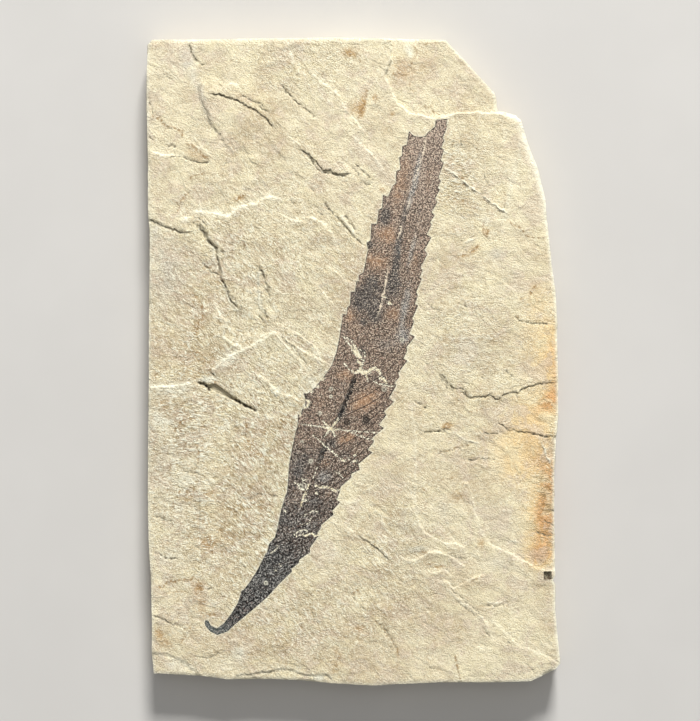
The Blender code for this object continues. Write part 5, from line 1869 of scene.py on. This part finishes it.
class NodeTree:
    """A Geometry Nodes tree under construction."""

    def __init__(self, name: str, sizes: dict[str, float | int]) -> None:
        """Start a tree that takes a geometry and some sizes.

        Args:
            name: The tree's name.
            sizes: Value of each input by name.
        """
        self.tree = bpy.data.node_groups.new(name, "GeometryNodeTree")
        self.sizes = {}
        for direction in ("INPUT", "OUTPUT"):
            self.tree.interface.new_socket("Geometry", in_out=direction, socket_type="NodeSocketGeometry")
        for key, value in sizes.items():
            kind = "NodeSocketInt" if isinstance(value, int) else "NodeSocketFloat"
            socket = self.tree.interface.new_socket(key, in_out="INPUT", socket_type=kind)
            socket.default_value = value
            self.sizes[socket.identifier] = value
        self.source = self.tree.nodes.new("NodeGroupInput")
        self.result = self.tree.nodes.new("NodeGroupOutput")

    def given(self, name: str) -> bpy.types.NodeSocket:
        """The tree's input of a name."""
        return self.source.outputs[name]

    def add(self, kind: str, settings: dict[str, object], inputs: dict[object, object],
            output: object = 0) -> bpy.types.NodeSocket:
        """Add a node.

        Args:
            kind: The node's type.
            settings: Its own settings, set before its inputs.
            inputs: Values or sockets, by input name or number.
            output: Name or number of the output that is wanted.

        Returns:
            That output.
        """
        return add_node(self.tree, kind, settings, inputs).outputs[output]

    def close(self, shape: bpy.types.NodeSocket, material: bpy.types.Material) -> None:
        """Realize the instances, give them their material and end the tree.

        Args:
            shape: The geometry made so far.
            material: The finish of what the tree makes.
        """
        real = self.add("GeometryNodeRealizeInstances", {}, {"Geometry": shape})
        dressed = self.add("GeometryNodeSetMaterial", {}, {"Geometry": real, "Material": material})
        self.tree.links.new(dressed, self.result.inputs[0])

    def grow(self, name: str, base: bpy.types.Mesh) -> bpy.types.Object:
        """Run the tree on a base mesh and keep the result as a plain mesh.

        Args:
            name: Name of the piece.
            base: Mesh that the tree starts from.

        Returns:
            The finished object.
        """
        carrier = new_object(name + "_base", base)
        modifier = carrier.modifiers.new(name, "NODES")
        modifier.node_group = self.tree
        for identifier, value in self.sizes.items():
            modifier[identifier] = value
        depsgraph = bpy.context.evaluated_depsgraph_get()
        mesh = bpy.data.meshes.new_from_object(carrier.evaluated_get(depsgraph))
        bpy.data.objects.remove(carrier, do_unlink=True)
        mesh.name = name
        mesh.shade_smooth()
        return new_object(name, mesh)


def draped(piece: bpy.types.Object, leaf: Leaf, sink: float, deeper: float = 0.0) -> None:
    """Lay a piece that was made flat onto the leaf's film.

    Args:
        piece: The piece, whose points are heights over a flat film.
        leaf: The leaf that it lies on.
        sink: How deep it is bedded, in mm.
        deeper: How much deeper it lies towards the leaf's tip and left of the midrib, in mm.
    """
    count = len(piece.data.vertices)
    spots = np.zeros(count * 3)
    piece.data.vertices.foreach_get("co", spots)
    spots = spots.reshape(-1, 3) / MM
    height, tones = leaf.surface(spots[:, :2])
    left = eased(-tones["across"] / 0.8)
    upper = eased((tones["along"] - 0.48) / 0.2)
    spots[:, 2] += height - sink - deeper * np.maximum(upper, 0.8 * left)
    piece.data.vertices.foreach_set("co", (spots * MM).ravel())
    piece.data.update()


@dataclass
class LeafVeins:
    """The side veins, which leave the midrib in pairs and run up to the teeth."""

    SIDES: ClassVar[dict[str, float]] = {"reach_right": 1.0, "reach_left": -1.0}

    leaf: Leaf
    pitch: float = 4.5
    radius: float = 0.16
    reach: float = 0.86             # how far towards the margin a vein runs, as a share
    sides: int = 5
    steps: int = 8
    first: float = 0.16             # where along the midrib the veins start and stop, as shares
    last: float = 0.97
    stations: int = 90
    nearest: float = 0.3            # where the search for the margin starts, stops, and its step
    farthest: float = 26.0
    probe: float = 0.25
    lean: float = math.radians(36.0)
    bow: float = 0.62               # where the middle of a vein's arc is pulled to, and its turn
    bow_turn: float = 0.16

    def _base(self) -> bpy.types.Mesh:
        """Lay the midrib as a line that knows how far the margin is on each side.

        Returns:
            The line's mesh.
        """
        path = self.leaf.midrib
        wanted = np.linspace(self.first * path.length, self.last * path.length, self.stations)
        spots = np.stack([np.interp(wanted, path.starts, path.points[:, axis]) for axis in (0, 1)], 1)
        run = np.gradient(spots, axis=0)
        run /= np.linalg.norm(run, axis=1)[:, None]
        reaches = {}
        for name, sign in self.SIDES.items():
            across = np.stack((run[:, 1], -run[:, 0]), axis=1) * sign
            aim = across * math.sin(self.lean) + run * math.cos(self.lean)
            widths = np.zeros(len(spots))
            for share in np.arange(self.nearest, self.farthest, self.probe):
                still = loop_distance(spots + aim * share, self.leaf.relief.leaf_outline) < 0.0
                widths = np.where(still & (widths >= share - self.nearest), share, widths)
            reaches[name] = widths * MM
        edges = [(index, index + 1) for index in range(len(spots) - 1)]
        return new_mesh("midrib_line", spots, edges, [], reaches)

    def _tree(self, material: bpy.types.Material) -> NodeTree:
        """The tree that sets a curved vein on both sides at even steps of the midrib.

        Args:
            material: The veins' finish.

        Returns:
            The tree.
        """
        tree = NodeTree("side_veins", {
            "Pitch": self.pitch * MM, "Radius": self.radius * MM, "Reach": self.reach})
        line = tree.add("GeometryNodeMeshToCurve", {}, {"Mesh": tree.given("Geometry")})
        spaced = tree.add("GeometryNodeResampleCurve", {"mode": "LENGTH"},
                          {"Curve": line, "Length": tree.given("Pitch")})
        points = tree.add("GeometryNodeCurveToPoints", {"mode": "EVALUATED"}, {"Curve": spaced})
        turn = tree.add("FunctionNodeAlignRotationToVector", {"axis": "Y", "pivot_axis": "Z"},
                        {"Vector": points.node.outputs["Tangent"]})
        join = tree.tree.nodes.new("GeometryNodeJoinGeometry")
        outer = self.lean + self.bow_turn
        for name, sign in self.SIDES.items():
            tip = (sign * math.sin(self.lean), math.cos(self.lean), 0.0)
            middle = (sign * self.bow * math.sin(outer), self.bow * math.cos(outer), 0.0)
            vein = tree.add("GeometryNodeCurveQuadraticBezier", {}, {
                "Resolution": self.steps, "Start": (0.0, 0.0, 0.0), "Middle": middle, "End": tip})
            width = tree.add("GeometryNodeInputNamedAttribute", {"data_type": "FLOAT"},
                             {"Name": name})
            size = tree.add("ShaderNodeMath", {"operation": "MULTIPLY"},
                            {0: width, 1: tree.given("Reach")})
            placed = tree.add("GeometryNodeInstanceOnPoints", {}, {
                "Points": points, "Instance": vein, "Rotation": turn, "Scale": size})
            tree.tree.links.new(placed, join.inputs[0])
        real = tree.add("GeometryNodeRealizeInstances", {}, {"Geometry": join.outputs[0]})
        ring = tree.add("GeometryNodeCurvePrimitiveCircle", {}, {
            "Resolution": self.sides, "Radius": tree.given("Radius")})
        tube = tree.add("GeometryNodeCurveToMesh", {}, {
            "Curve": real, "Profile Curve": ring, "Fill Caps": True})
        tree.close(tube, material)
        return tree

    def build(self) -> bpy.types.Object:
        """Make the veins and bed them in the film.

        Returns:
            The veins' object.
        """
        finish = PlainFinish("leaf_vein", srgb(46, 38, 34), srgb(78, 66, 58), 0.9, 0.6)
        piece = self._tree(finish.material()).grow("leaf_veins", self._base())
        draped(piece, self.leaf, self.radius * 0.35, self.radius * 0.55)
        return piece


@dataclass
class BreakCrumbs:
    """Crumbs of stone that still stand where the film has flaked off."""

    leaf: Leaf
    density: float = 9.0            # crumbs on a square millimetre
    radius: float = 0.2
    seed: int = 7
    least_width: float = 0.26       # of a break that has crumbs
    sizes: tuple[tuple[float, ...], ...] = ((0.4, 0.4, 0.25), (1.3, 1.2, 0.8))
    turns: tuple[tuple[float, ...], ...] = ((-0.5, -0.5, 0.0), (0.5, 0.5, 6.28))

    def _bed(self) -> bpy.types.Mesh:
        """Lay flat strips along the wider breaks, on which the crumbs are strewn.

        Returns:
            The strips' mesh.
        """
        spots, faces = [], []
        for path in self.leaf.flakes:
            for index, (start, stop) in enumerate(zip(path.points, path.points[1:])):
                width = path.extra[index:index + 2, 0]
                if width.max() < self.least_width:
                    continue
                run = (stop - start) / max(float(np.linalg.norm(stop - start)), 1e-6)
                side = np.array((-run[1], run[0]))
                base = len(spots)
                spots += [start - side * width[0], stop - side * width[1],
                          stop + side * width[1], start + side * width[0]]
                faces.append((base, base + 1, base + 2, base + 3))
        return new_mesh("crumb_bed", np.array(spots), [], faces, {})

    def _tree(self, material: bpy.types.Material) -> NodeTree:
        """The tree that strews small angular crumbs over a strip.

        Args:
            material: The crumbs' finish.

        Returns:
            The tree.
        """
        tree = NodeTree("break_crumbs", {
            "Density": self.density / MM**2, "Radius": self.radius * MM, "Seed": self.seed})
        points = tree.add("GeometryNodeDistributePointsOnFaces", {}, {
            "Mesh": tree.given("Geometry"), "Density": tree.given("Density"),
            "Seed": tree.given("Seed")})
        crumb = tree.add("GeometryNodeMeshIcoSphere", {}, {
            "Radius": tree.given("Radius"), "Subdivisions": 1})
        size, turn = (
            tree.add("FunctionNodeRandomValue", {"data_type": "FLOAT_VECTOR"},
                     {0: least, 1: most, "Seed": tree.given("Seed")})
            for least, most in (self.sizes, self.turns))
        strewn = tree.add("GeometryNodeInstanceOnPoints", {}, {
            "Points": points, "Instance": crumb, "Rotation": turn, "Scale": size})
        tree.close(strewn, material)
        return tree

    def build(self) -> bpy.types.Object:
        """Make the crumbs and set them on the film's breaks.

        Returns:
            The crumbs' object.
        """
        finish = PlainFinish("stone_crumb", srgb(246, 236, 206), srgb(206, 190, 156), 0.5, 0.9)
        piece = self._tree(finish.material()).grow("break_crumbs", self._bed())
        piece.data.shade_flat()
        draped(piece, self.leaf, -0.02)
        return piece


@dataclass(frozen=True)
class Lamp:
    """A square area light that faces the plate, with lengths in metres and power in watts."""

    name: str
    place: tuple[float, float, float]
    size: float
    power: float
    tint: tuple[float, float, float] = (1.0, 1.0, 1.0)

    def build(self) -> None:
        """Add the light."""
        data = bpy.data.lights.new(self.name, "AREA")
        data.size = self.size
        data.energy = self.power
        data.color = self.tint
        lamp = new_object(self.name, data)
        lamp.location = self.place
        lamp.rotation_euler = (-Vector(self.place)).to_track_quat("-Z", "Y").to_euler()


@dataclass
class Studio:
    """Pale floor, soft lights and a camera that looks straight down."""

    scale: float = 1.0 / 3.0        # mm of the face for each pixel
    aim: tuple[float, float] = (-1.17, 0.33)
    lens: float = 100.0
    sensor: float = 36.0
    clip: tuple[float, float] = (0.01, 20.0)
    floor_size: float = 4000.0
    surroundings: float = 0.22
    lamps: tuple[Lamp, ...] = (
        Lamp("window", (0.3, 2.4, 1.5), 0.7, 116.0, (1.0, 0.99, 0.975)),
        Lamp("overhead", (0.1, 0.1, 1.3), 1.2, 3.2),
    )

    def _floor(self) -> None:
        """Lay the floor."""
        half = self.floor_size / 2
        corners = np.array(((-half, -half), (half, -half), (half, half), (-half, half)))
        finish = PlainFinish("floor", srgb(206, 204, 200), srgb(209, 207, 203), 60.0, 0.9, 0.0)
        floor = add_piece("floor", corners, [(0, 1, 2, 3)], {}, finish.material())

    def build(self) -> None:
        """Set the floor, the lights, the surroundings and the camera."""
        self._floor()
        for lamp in self.lamps:
            lamp.build()
        world = bpy.data.worlds.new("studio")
        world.use_nodes = True
        sky = world.node_tree.nodes["Background"]
        sky.inputs["Color"].default_value = (1.0, 1.0, 1.0, 1.0)
        sky.inputs["Strength"].default_value = self.surroundings
        bpy.context.scene.world = world
        bpy.context.scene.view_settings.view_transform = "Standard"

        data = bpy.data.cameras.new("camera")
        data.lens = self.lens
        data.sensor_width = self.sensor
        data.clip_start, data.clip_end = self.clip
        distance = IMAGE_HEIGHT * self.scale * self.lens / self.sensor
        camera = new_object("camera", data)
        camera.location = (self.aim[0] * MM, self.aim[1] * MM, (FACE_LEVEL + distance) * MM)
        bpy.context.scene.camera = camera


def attach(piece: bpy.types.Object, replaced: str | None = None) -> None:
    """Tie a finished piece to the frame and report it.

    Args:
        piece: The piece.
        replaced: CAD node that the piece stands for, or None.
    """
    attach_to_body(piece, BODY)
    if replaced:
        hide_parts(replaced)
    log.info("%s: %d points, %d faces", piece.name, len(piece.data.vertices), len(piece.data.polygons))


def main() -> None:
    """Build the plate and the studio."""
    logging.basicConfig(level=logging.INFO, format="%(name)s: %(message)s")
    relief = Relief(cad_outline("slab", 0.0), cad_outline("leaf", FACE_LEVEL))
    leaf = Leaf(relief)
    attach(Slab(relief).build(), "slab")
    attach(leaf.build(), "leaf")
    attach(LeafVeins(leaf).build())
    attach(BreakCrumbs(leaf).build())
    Studio().build()
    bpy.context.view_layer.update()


if __name__ == "__main__":
    main()
